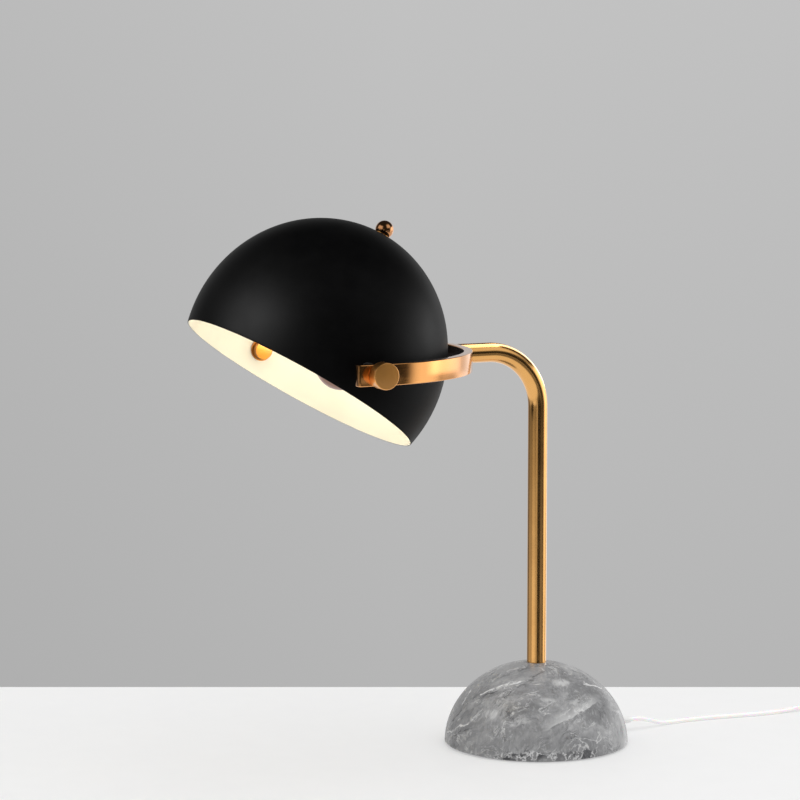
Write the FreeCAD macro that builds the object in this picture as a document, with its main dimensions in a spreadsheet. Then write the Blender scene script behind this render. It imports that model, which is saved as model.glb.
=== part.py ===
import FreeCAD, Part
import math
import os
import Sketcher
from FreeCAD import Vector, Placement, Rotation

# Dome shade desk lamp, millimetres.
# Frame: origin at the centre of the foot, on the table; +Z up; the yoke reaches towards -X;
# the shade tilts about a line along Y through (-pivot_back, 0, arm_height).

doc = FreeCAD.newDocument("dome_shade_desk_lamp")

# ------------------------------------------------------------------ driving dimensions
sheet = doc.addObject("Spreadsheet::Sheet", "Params")
VALUES = [
    ("base_radius", 80.4, "stone foot, radius at the table"),
    ("base_rise", 72.0, "stone foot, height of the dome above the table"),
    ("pad_radius", 76.0, "felt pad radius"),
    ("pad_depth", 1.0, "felt pad thickness"),
    ("cover_radius", 31.0, "recess cover radius"),
    ("cover_depth", 1.2, "recess cover thickness"),
    ("recess_radius", 28.0, "recess under the foot, radius"),
    ("recess_top", 36.0, "recess ceiling above the table"),
    ("socket_floor", 53.0, "bottom of the tube's socket above the table"),
    ("nipple_radius", 5.0, "threaded nipple, outer radius"),
    ("nipple_bore", 3.25, "threaded nipple, bore radius"),
    ("tube_radius", 8.5, "column tube, outer radius"),
    ("tube_bore", 7.0, "column tube, bore radius"),
    ("bend_radius", 48.6, "column bend, centreline radius"),
    ("arm_height", 346.1, "height of the arm and of the tilt axis"),
    ("pivot_back", 214.8, "distance from the column to the tilt axis"),
    ("ring_outer", 134.3, "yoke band, outer radius"),
    ("ring_depth", 7.4, "yoke band, radial thickness"),
    ("ring_tall", 17.4, "yoke band, height"),
    ("ring_wall", 1.6, "yoke band, wall of its hollow section"),
    ("ring_edge", 0.6, "yoke band, chamfer of its long edges"),
    ("ring_sweep", 196.0, "yoke band, angle from end to end"),
    ("block_sweep", 14.0, "end block, angle that it fills"),
    ("stud_radius", 4.0, "pivot stud radius"),
    ("stud_bore", 2.5, "near pivot stud, bore radius"),
    ("knob_radius", 10.9, "thumb knob radius"),
    ("knob_inner", 134.6, "thumb knob, inner face from the centre plane"),
    ("knob_outer", 145.3, "thumb knob, outer face from the centre plane"),
    ("knob_edge", 0.9, "thumb knob, chamfer"),
    ("nut_radius", 8.15, "inner nut radius"),
    ("flange_radius", 9.6, "inner flange radius"),
    ("shade_tilt", 32.0, "tilt of the shade's axis from upright, at rest"),
    ("shade_semi", 109.4, "shade, half width at its widest"),
    ("shade_rise", 115.2, "shade, height of its crown above its widest section"),
    ("shade_lift", 6.1, "shade, widest section above the tilt axis"),
    ("rim_drop", 22.1, "shade, rim below the tilt axis"),
    ("sheet_depth", 0.8, "shade, sheet thickness"),
    ("ball_radius", 7.8, "finial ball radius"),
    ("ball_height", 127.0, "finial ball centre above the tilt axis"),
    ("bulb_shift", 25.0, "lamp holder axis, distance behind the shade's axis"),
    ("bulb_radius", 22.5, "globe radius"),
    ("bulb_height", 9.5, "globe centre above the tilt axis"),
    ("glass_wall", 0.8, "globe wall"),
    ("cord_radius", 2.0, "mains cord radius"),
    ("lead_radius", 1.2, "inner lead radius"),
    ("switch_long", 56.0, "inline switch length"),
    ("switch_wide", 20.0, "inline switch width"),
    ("switch_split", 6.5, "inline switch, height of the joint line"),
    ("switch_tall", 14.0, "inline switch height"),
    ("switch_start", 300.0, "inline switch, near end"),
    ("switch_side", 4.0, "inline switch, centre line"),
    ("coil_inner", 14.4, "wound cord, inner radius"),
    ("coil_outer", 29.0, "wound cord, outer radius"),
    ("coil_tall", 16.15, "wound cord, height"),
    ("coil_along", 396.0, "wound cord, centre along X"),
    ("coil_across", -24.0, "wound cord, centre along Y"),
    ("plug_tall", 13.7, "plug thickness"),
    ("pin_radius", 2.0, "plug pin radius"),
    ("pin_gap", 18.6, "plug pins, distance between centres"),
]
for row, (alias, value, note) in enumerate(VALUES, start=1):
    sheet.set("A%d" % row, note)
    sheet.set("B%d" % row, repr(value))
    sheet.setAlias("B%d" % row, alias)
doc.recompute()


class Dim:
    """A length that knows both its number and the sheet expression behind it."""

    def __init__(self, number, text):
        self.v = float(number)
        self.e = text

    def _mix(self, other, sign, number):
        o = as_dim(other)
        return Dim(number, "(%s %s %s)" % (self.e, sign, o.e))

    def __add__(self, o):
        return self._mix(o, "+", self.v + as_dim(o).v)

    def __sub__(self, o):
        return self._mix(o, "-", self.v - as_dim(o).v)

    def __mul__(self, o):
        return self._mix(o, "*", self.v * as_dim(o).v)

    def __truediv__(self, o):
        return self._mix(o, "/", self.v / as_dim(o).v)

    def __radd__(self, o):
        return as_dim(o) + self

    def __rsub__(self, o):
        return as_dim(o) - self

    def __rmul__(self, o):
        return as_dim(o) * self

    def __neg__(self):
        return Dim(-self.v, "(0 - %s)" % self.e)


def as_dim(x):
    return x if isinstance(x, Dim) else Dim(x, repr(float(x)))


def num(x):
    return x.v if isinstance(x, Dim) else float(x)


D = {alias: Dim(getattr(sheet, alias), "Params.%s" % alias) for alias, _v, _n in VALUES}
(base_radius, base_rise, arm_height, pivot_back) = (D["base_radius"], D["base_rise"], D["arm_height"], D["pivot_back"])


def bind(obj, prop, dim):
    d = as_dim(dim)
    obj.setExpression(prop, d.e)


def size(obj, **props):
    for name, dim in props.items():
        setattr(obj, name, num(dim))
        bind(obj, name, dim)


def at(obj, x=0.0, y=0.0, z=0.0, rot=None):
    obj.Placement = Placement(Vector(num(x), num(y), num(z)), rot or Rotation())
    for key, dim in (("x", x), ("y", y), ("z", z)):
        if isinstance(dim, Dim):
            obj.setExpression("Placement.Base.%s" % key, dim.e)
    return obj


ALONG_X = Rotation(Vector(0, 1, 0), 90)
ALONG_Y = Rotation(Vector(1, 0, 0), -90)
NODES = {}
BODY_OF = {}


def node(obj, label, where=None):
    """Names a sub-part and, where asked, sets it in the yoke's or the shade's own frame."""
    obj.Label = label
    if where == "yoke":
        at(obj, -pivot_back, 0.0, arm_height)
    elif where == "shade":
        at(obj, -pivot_back, 0.0, arm_height, Rotation(Vector(0, 1, 0), num(D["shade_tilt"])))
    NODES[label] = obj
    return obj


# ------------------------------------------------------------------ sketch and solid helpers
def plane_of(body, role):
    for feature in body.Origin.OriginFeatures:
        if feature.Role == role:
            return feature
    raise ValueError("no plane " + role)


def sketch_on(body, name, role):
    sk = body.newObject("Sketcher::SketchObject", name)
    sk.AttachmentSupport = [(plane_of(body, role), "")]
    sk.MapMode = "FlatFace"
    return sk


def pin_point(sk, geo, end, x, y):
    if num(x) == 0.0 and num(y) == 0.0:
        sk.addConstraint(Sketcher.Constraint("Coincident", geo, end, -1, 1))
        return
    if num(x) == 0.0:
        sk.addConstraint(Sketcher.Constraint("PointOnObject", geo, end, -2))
    else:
        c = sk.addConstraint(Sketcher.Constraint("DistanceX", -1, 1, geo, end, num(x)))
        sk.setExpression("Constraints[%d]" % c, as_dim(x).e)
    if num(y) == 0.0:
        sk.addConstraint(Sketcher.Constraint("PointOnObject", geo, end, -1))
    else:
        c = sk.addConstraint(Sketcher.Constraint("DistanceY", -1, 1, geo, end, num(y)))
        sk.setExpression("Constraints[%d]" % c, as_dim(y).e)


def loop(sk, pts):
    first = sk.GeometryCount
    n = len(pts)
    for i in range(n):
        a, b = pts[i], pts[(i + 1) % n]
        sk.addGeometry(Part.LineSegment(Vector(num(a[0]), num(a[1]), 0), Vector(num(b[0]), num(b[1]), 0)), False)
    for i in range(n):
        sk.addConstraint(Sketcher.Constraint("Coincident", first + i, 2, first + (i + 1) % n, 1))
    for i in range(n):
        pin_point(sk, first + i, 1, pts[i][0], pts[i][1])


def ring_of(sk, x, y, radius):
    g = sk.addGeometry(Part.Circle(Vector(num(x), num(y), 0), Vector(0, 0, 1), num(radius)), False)
    pin_point(sk, g, 3, x, y)
    c = sk.addConstraint(Sketcher.Constraint("Radius", g, num(radius)))
    sk.setExpression("Constraints[%d]" % c, as_dim(radius).e)


def turned(label, loops, about="Z", angle=None):
    """A revolved body: closed loops of (radius, along) points about the named axis."""
    body = doc.addObject("PartDesign::Body", label)
    role = {"Z": "XZ_Plane", "Y": "XY_Plane", "X": "XY_Plane"}[about]
    sk = sketch_on(body, label + "_profile", role)
    for pts in loops:
        loop(sk, [(p[1], p[0]) for p in pts] if about == "X" else pts)
    rev = body.newObject("PartDesign::Revolution", label + "_turn")
    rev.Profile = sk
    rev.ReferenceAxis = (sk, ["H_Axis"] if about == "X" else ["V_Axis"])
    if angle is None:
        rev.Angle = 360.0
    else:
        rev.Midplane = True
        size(rev, Angle=angle)
    body.Tip = rev
    return body


def rect(r0, r1, a0, a1):
    return [(r0, a0), (r1, a0), (r1, a1), (r0, a1)]


def padded(label, loops, circles, length, role="XY_Plane"):
    body = doc.addObject("PartDesign::Body", label)
    sk = sketch_on(body, label + "_profile", role)
    for pts in loops:
        loop(sk, pts)
    for (x, y, r) in circles:
        ring_of(sk, x, y, r)
    pad = body.newObject("PartDesign::Pad", label + "_pad")
    pad.Profile = sk
    size(pad, Length=length)
    body.Tip = pad
    return body


def cylinder(name, radius, height, x=0.0, y=0.0, z=0.0, rot=None):
    c = doc.addObject("Part::Cylinder", name)
    size(c, Radius=radius, Height=height)
    return at(c, x, y, z, rot)


def cone(name, r1, r2, height, x=0.0, y=0.0, z=0.0, rot=None):
    c = doc.addObject("Part::Cone", name)
    size(c, Radius1=r1, Radius2=r2, Height=height)
    return at(c, x, y, z, rot)


def block(name, lx, ly, lz, x=0.0, y=0.0, z=0.0):
    b = doc.addObject("Part::Box", name)
    size(b, Length=lx, Width=ly, Height=lz)
    return at(b, x, y, z)


def cut(name, base, *tools):
    if len(tools) == 1:
        tool = tools[0]
    else:
        tool = doc.addObject("Part::MultiFuse", name + "_tools")
        tool.Shapes = list(tools)
    c = doc.addObject("Part::Cut", name)
    c.Base = base
    c.Tool = tool
    return c


def common(name, a, b):
    c = doc.addObject("Part::Common", name)
    c.Base = a
    c.Tool = b
    return c


def fuse(name, *items):
    f = doc.addObject("Part::MultiFuse", name)
    f.Shapes = list(items)
    return f


def rounded(name, base, radius, chooser):
    """A fillet on the edges of base that chooser accepts."""
    doc.recompute()
    f = doc.addObject("Part::Fillet", name)
    f.Base = base
    f.Edges = [(i, radius, radius) for i, e in enumerate(base.Shape.Edges, start=1) if chooser(e)]
    return f


def spans(e):
    b = e.BoundBox
    return b.XLength, b.YLength, b.ZLength


# ------------------------------------------------------------------ cords and leads
RADII = []


def rounded_path(points, radii=None, label=""):
    """Straight runs joined by tangent arcs; each arc as large as its two runs allow."""
    pts = [Vector(*p) for p in points]
    runs = [(pts[i + 1] - pts[i]).Length for i in range(len(pts) - 1)]
    edges, cursor = [], pts[0]
    for i in range(1, len(pts) - 1):
        a = (pts[i] - pts[i - 1]).normalize()
        b = (pts[i + 1] - pts[i]).normalize()
        turn = a.getAngle(b)
        if turn < 1e-4:
            continue
        r = (radii or {}).get(i)
        if r is None:
            r = 0.45 * min(runs[i - 1], runs[i]) / math.tan(turn / 2)
        reach = r * math.tan(turn / 2)
        p0 = pts[i] - a * reach
        p1 = pts[i] + b * reach
        inward = (b - a).normalize()
        mid = pts[i] + inward * (r / math.cos(turn / 2) - r)
        if (p0 - cursor).Length > 1e-4:
            edges.append(Part.LineSegment(cursor, p0).toShape())
        edges.append(Part.Arc(p0, mid, p1).toShape())
        cursor = p1
        RADII.append((label, i, round(r, 1)))
    edges.append(Part.LineSegment(cursor, pts[-1]).toShape())
    return Part.Wire(edges)


def tube_along(points, radius, radii=None, label=""):
    path = rounded_path(points, radii, label)
    start = Vector(*points[0])
    way = (Vector(*points[1]) - start).normalize()
    section = Part.Wire([Part.Circle(start, way, radius).toShape()])
    shape = path.makePipeShell([section], True, False)
    want = math.pi * radius * radius * path.Length
    print("%s: length %.1f, volume %.1f against %.1f" % (label, path.Length, shape.Volume, want))
    return shape


def feature(label, shape):
    f = doc.addObject("Part::Feature", label)
    f.Shape = shape
    f.Placement = Placement()
    return f


# ================================================================== foot
foot_blank = doc.addObject("Part::Ellipsoid", "foot_blank")
size(foot_blank, Radius1=base_rise, Radius2=base_radius)
foot_blank.Radius3 = 0
foot_blank.Angle1 = math.degrees(math.asin(num(D["pad_depth"]) / num(base_rise)))
foot_blank.setExpression("Angle1", "asin(Params.pad_depth / Params.base_rise)")
foot_blank.Angle2 = 90
foot_round = rounded("foot_round", foot_blank, 1.2, lambda e: spans(e)[0] > 150 and spans(e)[2] < 0.1)
gland_y, gland_z = 3.0, 10.0
marble = cut(
    "marble_cut", foot_round,
    cylinder("cut_recess", D["recess_radius"], D["recess_top"]),
    cylinder("cut_cover", D["cover_radius"] + 0.25, D["pad_depth"] + D["cover_depth"]),
    cylinder("cut_bore", D["nipple_radius"] + 0.5, 60.0, z=10.0),
    cylinder("cut_socket", D["tube_radius"] + 0.05, 40.0, z=D["socket_floor"]),
    cylinder("cut_channel", D["cord_radius"] + 1.0, 66.0, 20.0, gland_y, gland_z, ALONG_X),
    cylinder("cut_gland", 4.5, 20.0, 69.0, gland_y, gland_z, ALONG_X),
    cylinder("cut_spot", 6.4, 20.0, 78.0, gland_y, gland_z, ALONG_X),
)
node(marble, "marble_base")

node(cylinder("pad", D["pad_radius"], D["pad_depth"]), "felt_pad")
node(cylinder("cover", D["cover_radius"], D["cover_depth"], z=D["pad_depth"]), "recess_cover")

washer = turned("clamp_washer", [rect(D["nipple_radius"] + 0.3, 20.0, D["recess_top"] - 3.0, D["recess_top"])])
node(washer, "clamp_washer")


def hexagon(across):
    r = across / math.sqrt(3.0)
    return [(r * math.cos(math.radians(60 * k)), r * math.sin(math.radians(60 * k))) for k in range(6)]


lock_nut = padded("lock_nut", [hexagon(17.0)], [(0.0, 0.0, D["nipple_radius"])], 6.0)
node(lock_nut, "lock_nut")
at(lock_nut, 0.0, 0.0, D["recess_top"] - 9.0)

nipple = turned("threaded_nipple", [[
    (D["nipple_bore"], D["recess_top"] - 11.0), (D["nipple_radius"] - 0.6, D["recess_top"] - 11.0),
    (D["nipple_radius"], D["recess_top"] - 10.4), (D["nipple_radius"], D["socket_floor"] + 14.4),
    (D["nipple_radius"] - 0.6, D["socket_floor"] + 15.0), (D["nipple_bore"], D["socket_floor"] + 15.0)]])
node(nipple, "threaded_nipple")

insert = turned("tube_insert", [rect(D["nipple_radius"], D["tube_bore"], D["socket_floor"], D["socket_floor"] + 18.0)])
node(insert, "tube_insert")

# tapered cord gland in the back of the foot
gland = turned("cord_gland", [[
    (2.1, 69.6), (4.45, 69.6), (4.45, 78.05), (6.2, 78.05), (6.2, 79.4), (5.6, 80.0), (4.3, 80.4),
    (2.95, 97.0), (2.1, 97.0)]], about="X")
node(gland, "cord_gland")
at(gland, 0.0, gland_y, gland_z)

inner_cord = cylinder("inner_mains", D["cord_radius"], 105.0, -8.0, gland_y, gland_z, ALONG_X)
node(inner_cord, "inner_mains_cord")

grip = cut("grip_cut", block("grip_block", 6.0, 12.0, 12.2, 18.0, gland_y - 6.0, D["pad_depth"] + D["cover_depth"]),
           cylinder("grip_hole", D["cord_radius"], 10.0, 16.0, gland_y, gland_z, ALONG_X))
node(grip, "cord_grip")

terminal = cut("terminal_cut",
               block("terminal_body", 16.0, 18.0, 12.0, -24.0, -9.0, D["pad_depth"] + D["cover_depth"]),
               cylinder("terminal_hole_a", 1.5, 5.0, -12.0, -4.0, 14.0 - 2.4),
               cylinder("terminal_hole_b", 1.5, 5.0, -12.0, 4.0, 14.0 - 2.4),
               cylinder("terminal_hole_c", 1.5, 5.0, -20.0, -4.0, 14.0 - 2.4),
               cylinder("terminal_hole_d", 1.5, 5.0, -20.0, 4.0, 14.0 - 2.4))
node(terminal, "terminal_block")
screws = doc.addObject("Part::Compound", "terminal_screw_set")
screws.Links = [cylinder("terminal_screw_%s" % k, 1.45, 2.0, x, y, 11.6)
                for k, x, y in (("a", -12.0, -4.0), ("b", -12.0, 4.0), ("c", -20.0, -4.0), ("d", -20.0, 4.0))]
node(screws, "terminal_screws")

# ================================================================== column
tube_body = doc.addObject("PartDesign::Body", "column_blank")
path = sketch_on(tube_body, "column_path", "XZ_Plane")
rise = num(arm_height) - num(D["bend_radius"])
rb = num(D["bend_radius"])
reach = num(pivot_back) - num(D["ring_outer"]) + 0.6
path.addGeometry(Part.LineSegment(Vector(0, num(D["socket_floor"]), 0), Vector(0, rise, 0)), False)
path.addGeometry(Part.ArcOfCircle(Part.Circle(Vector(-rb, rise, 0), Vector(0, 0, 1), rb), 0, math.pi / 2), False)
path.addGeometry(Part.LineSegment(Vector(-rb, rise + rb, 0), Vector(-reach, rise + rb, 0)), False)
path.addConstraint(Sketcher.Constraint("PointOnObject", 0, 1, -2))
c = path.addConstraint(Sketcher.Constraint("DistanceY", -1, 1, 0, 1, num(D["socket_floor"])))
path.setExpression("Constraints[%d]" % c, D["socket_floor"].e)
path.addConstraint(Sketcher.Constraint("Vertical", 0))
path.addConstraint(Sketcher.Constraint("Tangent", 0, 2, 1, 1))
path.addConstraint(Sketcher.Constraint("Tangent", 1, 2, 2, 1))
path.addConstraint(Sketcher.Constraint("Horizontal", 2))
c = path.addConstraint(Sketcher.Constraint("Radius", 1, rb))
path.setExpression("Constraints[%d]" % c, D["bend_radius"].e)
c = path.addConstraint(Sketcher.Constraint("DistanceY", -1, 1, 2, 2, num(arm_height)))
path.setExpression("Constraints[%d]" % c, arm_height.e)
c = path.addConstraint(Sketcher.Constraint("DistanceX", -1, 1, 2, 2, -reach))
path.setExpression("Constraints[%d]" % c, (-(pivot_back - D["ring_outer"] + 0.6)).e)
section = sketch_on(tube_body, "column_section", "XY_Plane")
ring_of(section, 0.0, 0.0, D["tube_radius"])
ring_of(section, 0.0, 0.0, D["tube_bore"])
section.AttachmentOffset = Placement(Vector(0, 0, num(D["socket_floor"])), Rotation())
section.setExpression("AttachmentOffset.Base.z", D["socket_floor"].e)
pipe = tube_body.newObject("PartDesign::AdditivePipe", "column_pipe")
pipe.Profile = section
pipe.Spine = (path, ["Edge1", "Edge2", "Edge3"])
tube_body.Tip = pipe
saddle = cylinder("column_saddle", D["ring_outer"], 40.0, -pivot_back, 0.0, arm_height - 20.0)
column = cut("column_cut", tube_body, saddle)
node(column, "column_tube")

# ================================================================== yoke (local: centre of the ring on the tilt axis)
ro, ri = D["ring_outer"], D["ring_outer"] - D["ring_depth"]
hb, eb, wb = D["ring_tall"] / 2, D["ring_edge"], D["ring_wall"]
ring_body = turned("yoke_blank", [
    [(ri + eb, -hb), (ro - eb, -hb), (ro, eb - hb), (ro, hb - eb), (ro - eb, hb), (ri + eb, hb), (ri, hb - eb), (ri, eb - hb)],
    rect(ri + wb, ro - wb, wb - hb, hb - wb)], angle=D["ring_sweep"])
ring = cut("yoke_cut", ring_body,
           cylinder("yoke_pivot_bore", D["stud_radius"], 320.0, 0.0, -160.0, 0.0, ALONG_Y),
           cylinder("yoke_lead_hole", 2.6, 6.0, ro - 3.0, 0.0, 0.0, ALONG_X))
node(ring, "yoke_band", "yoke")


def end_block(name, side):
    blank = turned(name + "_blank", [rect(ri + wb, ro - wb, wb - hb, hb - wb)], angle=D["block_sweep"])
    blank.Placement = Placement(Vector(0, 0, 0), Rotation(Vector(0, 0, 1), side * (num(D["ring_sweep"]) / 2 - num(D["block_sweep"]) / 2)))
    blank.setExpression("Placement.Rotation.Angle", "%s * (Params.ring_sweep / 2 - Params.block_sweep / 2)" % side)
    tools = [cylinder(name + "_bore", D["stud_radius"], 40.0, 0.0, -150.0 if side < 0 else 110.0, 0.0, ALONG_Y)]
    if side < 0:
        tools.append(cylinder(name + "_channel", 1.6, 24.0, 0.0, ro * -1.0 + D["ring_depth"] / 2, 0.0, ALONG_X))
    return cut(name, blank, *tools)


node(end_block("yoke_near_end", -1), "yoke_end_block_near", "yoke")
node(end_block("yoke_far_end", 1), "yoke_end_block_far", "yoke")

stud_tip = D["knob_outer"] - 3.8
near_stud_body = turned("near_stud_blank", [[
    (0.0, -stud_tip), (D["stud_radius"] - 0.5, -stud_tip), (D["stud_radius"], 0.5 - stud_tip), (D["stud_radius"], -101.2),
    (D["stud_bore"], -101.2), (D["stud_bore"], -133.6), (0.0, -133.6)]], about="Y")
near_stud = cut("near_stud_cut", near_stud_body,
                cylinder("near_stud_port", 1.6, 5.0, 0.0, ro * -1.0 + D["ring_depth"] / 2, 0.0, ALONG_X))
node(near_stud, "pivot_stud_near", "yoke")
far_stud = turned("pivot_stud_far", [[
    (0.0, 102.4), (D["stud_radius"], 102.4), (D["stud_radius"], stud_tip - 0.5), (D["stud_radius"] - 0.5, stud_tip), (0.0, stud_tip)]], about="Y")
node(far_stud, "pivot_stud_far", "yoke")


def both(r0, r1, a0, a1, side):
    return rect(r0, r1, min(side * a0, side * a1), max(side * a0, side * a1))


for side, word in ((-1, "near"), (1, "far")):
    spacer = turned("spacer_bush_" + word, [both(D["stud_radius"] + 0.05, 7.0, 110.7, 126.68, side)], about="Y")
    node(spacer, "spacer_bush_" + word, "yoke")
    k0, k1, ke = D["knob_inner"], D["knob_outer"], D["knob_edge"]
    knob = turned("thumb_knob_" + word, [[
        (D["stud_radius"] + 0.05, side * k0), (D["knob_radius"] - 0.5, side * k0), (D["knob_radius"], side * (k0 + 0.5)),
        (D["knob_radius"], side * (k1 - ke)), (D["knob_radius"] - ke, side * k1), (0.0, side * k1),
        (0.0, side * (k1 - 3.4)), (D["stud_radius"] + 0.05, side * (k1 - 3.4))]], about="Y")
    node(knob, "thumb_knob_" + word, "yoke")

nut_r = D["nut_radius"]
near_nut = turned("inner_nut_near", [[
    (D["stud_radius"], -105.45), (nut_r, -105.45), (nut_r, -101.4), (nut_r - 0.6, -100.8), (D["stud_radius"], -100.8)]], about="Y")
node(near_nut, "inner_nut_near", "yoke")
far_nut = turned("inner_nut_far", [[
    (D["stud_radius"], 105.45), (nut_r, 105.45), (nut_r, 101.4), (nut_r - 0.6, 100.8), (0.0, 100.8),
    (0.0, 102.4), (D["stud_radius"], 102.4)]], about="Y")
node(far_nut, "inner_nut_far", "yoke")

# ================================================================== shade (local: tilt axis along Y, shade axis along Z)
semi, crown, lift = D["shade_semi"], D["shade_rise"], D["shade_lift"]
sheet_t = D["sheet_depth"]


def shade_solid(name, inset, below):
    e = doc.addObject("Part::Ellipsoid", name)
    size(e, Radius1=crown - inset, Radius2=semi - inset)
    e.Radius3 = 0
    e.Angle1 = -math.degrees(math.asin((num(D["rim_drop"]) + num(lift) + below) / (num(crown) - inset)))
    e.setExpression("Angle1", "-1 * asin((Params.rim_drop + Params.shade_lift + %r) / (Params.shade_rise - %r))" % (float(below), float(inset)))
    e.Angle2 = 90
    return at(e, 0.0, 0.0, lift)


shell = cut("shell_cut", shade_solid("shade_outer", 0.0, 0.0), shade_solid("shade_inner", num(sheet_t), 3.0),
            cylinder("shell_pivot_bore", D["stud_radius"] + 0.25, 240.0, 0.0, -120.0, 0.0, ALONG_Y),
            cylinder("shell_crown_bore", 3.2, 20.0, 0.0, 0.0, 110.0))
node(shell, "shade_shell", "shade")

for side, word in ((-1, "near"), (1, "far")):
    blank = turned("friction_blank_" + word, [both(D["stud_radius"] + 0.25, 8.0, 107.0, 110.4, side)], about="Y")
    fw = cut("friction_cut_" + word, blank, shade_solid("friction_tool_" + word, 0.0, 0.0))
    node(fw, "friction_washer_" + word, "shade")
    blank = turned("flange_blank_" + word, [both(D["stud_radius"] + 0.25, D["flange_radius"], 105.75, 109.0, side)], about="Y")
    fl = common("flange_cut_" + word, blank, shade_solid("flange_tool_" + word, num(sheet_t), 0.0))
    node(fl, "inner_flange_" + word, "shade")

seat_z = crown + lift + 1.1
ball = doc.addObject("Part::Sphere", "finial_sphere")
size(ball, Radius=D["ball_radius"])
ball.Angle1 = -math.degrees(math.asin((num(D["ball_height"]) - num(seat_z)) / num(D["ball_radius"])))
ball.setExpression("Angle1", "-1 * asin((Params.ball_height - %s) / Params.ball_radius)" % seat_z.e)
ball.Angle2 = 90
at(ball, 0.0, 0.0, D["ball_height"])
finial = cut("finial_cut", ball, cylinder("finial_thread", 3.0, 8.0, 0.0, 0.0, D["ball_height"] - 7.0))
node(finial, "finial_ball", "shade")
seat_blank = turned("finial_seat_blank", [rect(3.2, 6.4, seat_z - 2.0, seat_z)])
node(cut("finial_seat_cut", seat_blank, shade_solid("seat_tool", 0.0, 0.0)), "finial_seat", "shade")
finial_stud = turned("finial_stud_body", [[(0.0, 104.0), (2.5, 104.0), (3.0, 104.5), (3.0, D["ball_height"] + 0.5),
                                           (2.5, D["ball_height"] + 1.0), (0.0, D["ball_height"] + 1.0)]])
node(finial_stud, "finial_stud", "shade")
bush_blank = turned("crown_bush_blank", [rect(3.05, 7.0, 113.5, 121.0)])
node(common("crown_bush_cut", bush_blank, shade_solid("bush_tool", num(sheet_t), 0.0)), "crown_bush", "shade")

sp = Placement(Vector(-num(pivot_back), 0, num(arm_height)), Rotation(Vector(0, 1, 0), num(D["shade_tilt"])))


def in_shade(obj, x, y, z, rot=None):
    """Places a piece drawn about its own origin at a point of the shade's frame."""
    obj.Placement = sp.multiply(Placement(Vector(x, y, z), rot or Rotation()))
    return obj


finial_nut = padded("finial_nut", [hexagon(10.0)], [(0.0, 0.0, 3.0)], 5.0)
node(finial_nut, "finial_nut")
in_shade(finial_nut, 0, 0, 106.9)

# offset bracket under the crown
bs = D["bulb_shift"]
bracket = doc.addObject("PartDesign::Body", "holder_bracket")
sk = sketch_on(bracket, "bracket_profile", "XY_Plane")
sk.addGeometry(Part.LineSegment(Vector(0, -9, 0), Vector(num(bs), -9, 0)), False)
sk.addGeometry(Part.ArcOfCircle(Part.Circle(Vector(num(bs), 0, 0), Vector(0, 0, 1), 9), -math.pi / 2, math.pi / 2), False)
sk.addGeometry(Part.LineSegment(Vector(num(bs), 9, 0), Vector(0, 9, 0)), False)
sk.addGeometry(Part.ArcOfCircle(Part.Circle(Vector(0, 0, 0), Vector(0, 0, 1), 9), math.pi / 2, 3 * math.pi / 2), False)
for a, b in ((0, 1), (1, 2), (2, 3), (3, 0)):
    sk.addConstraint(Sketcher.Constraint("Tangent", a, 2, b, 1))
sk.addConstraint(Sketcher.Constraint("Coincident", 3, 3, -1, 1))
sk.addConstraint(Sketcher.Constraint("PointOnObject", 1, 3, -1))
sk.addConstraint(Sketcher.Constraint("Radius", 3, 9.0))
c = sk.addConstraint(Sketcher.Constraint("DistanceX", -1, 1, 1, 3, num(bs)))
sk.setExpression("Constraints[%d]" % c, bs.e)
ring_of(sk, 0.0, 0.0, 3.0)
ring_of(sk, bs, 0.0, 5.0)
pad = bracket.newObject("PartDesign::Pad", "bracket_pad")
pad.Profile = sk
pad.Length = 1.6
bracket.Tip = pad
node(bracket, "holder_bracket")
in_shade(bracket, 0, 0, 111.9)

# lamp holder and bulb, on an axis of their own beside the shade's axis
def on_holder(obj, label):
    node(obj, label)
    return in_shade(obj, num(bs), 0, 0)



on_holder(turned("holder_nipple", [[(3.2, 97.0), (5.0, 97.0), (5.0, 113.5), (7.0, 113.5), (7.0, 114.6), (3.2, 114.6)]]), "holder_nipple")
holder_nut = padded("holder_nut", [hexagon(14.0)], [(0.0, 0.0, 5.0)], 4.0)
on_holder(holder_nut, "holder_nut")
in_shade(holder_nut, num(bs), 0, 107.9)
cap_body = turned("holder_cap_blank", [[
    (5.0, 97.0), (5.0, 102.0), (8.5, 102.0), (9.6, 99.6), (13.2, 93.2), (14.0, 90.6), (14.0, 79.9), (12.35, 79.9),
    (12.35, 90.0), (8.6, 97.0)]])
on_holder(cut("holder_cap_cut", cap_body, cylinder("holder_cap_port", 1.45, 6.0, 0.0, -16.0, 88.0, ALONG_Y)), "holder_cap")
on_holder(turned("holder_skirt", [[
    (9.6, 44.0), (12.4, 44.0), (13.0, 44.6), (13.0, 79.85), (12.3, 79.85), (12.3, 86.0), (10.6, 86.0), (10.6, 79.0), (9.6, 79.0)]]), "holder_skirt")
on_holder(turned("holder_thread_shell", [rect(7.15, 7.6, 46.5, 67.9)]), "holder_thread_shell")
on_holder(turned("holder_contact_block", [[(0.0, 68.0), (9.55, 68.0), (9.55, 78.0), (0.0, 78.0)]]), "holder_contact_block")
on_holder(turned("holder_contact", [[(0.0, 66.0), (2.0, 66.0), (2.0, 68.0), (0.0, 68.0)]]), "holder_contact")

gr, gz, gw = D["bulb_radius"], D["bulb_height"], D["glass_wall"]
neck_low, neck_high = 25.5, 40.0


def globe(name, radius, shrink, top):
    s = doc.addObject("Part::Sphere", name + "_ball")
    size(s, Radius=radius)
    at(s, 0.0, 0.0, gz)
    n = cone(name + "_neck", 15.8 - shrink, 6.9 - shrink, top - neck_low, 0.0, 0.0, neck_low)
    return fuse(name, s, n)


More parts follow.
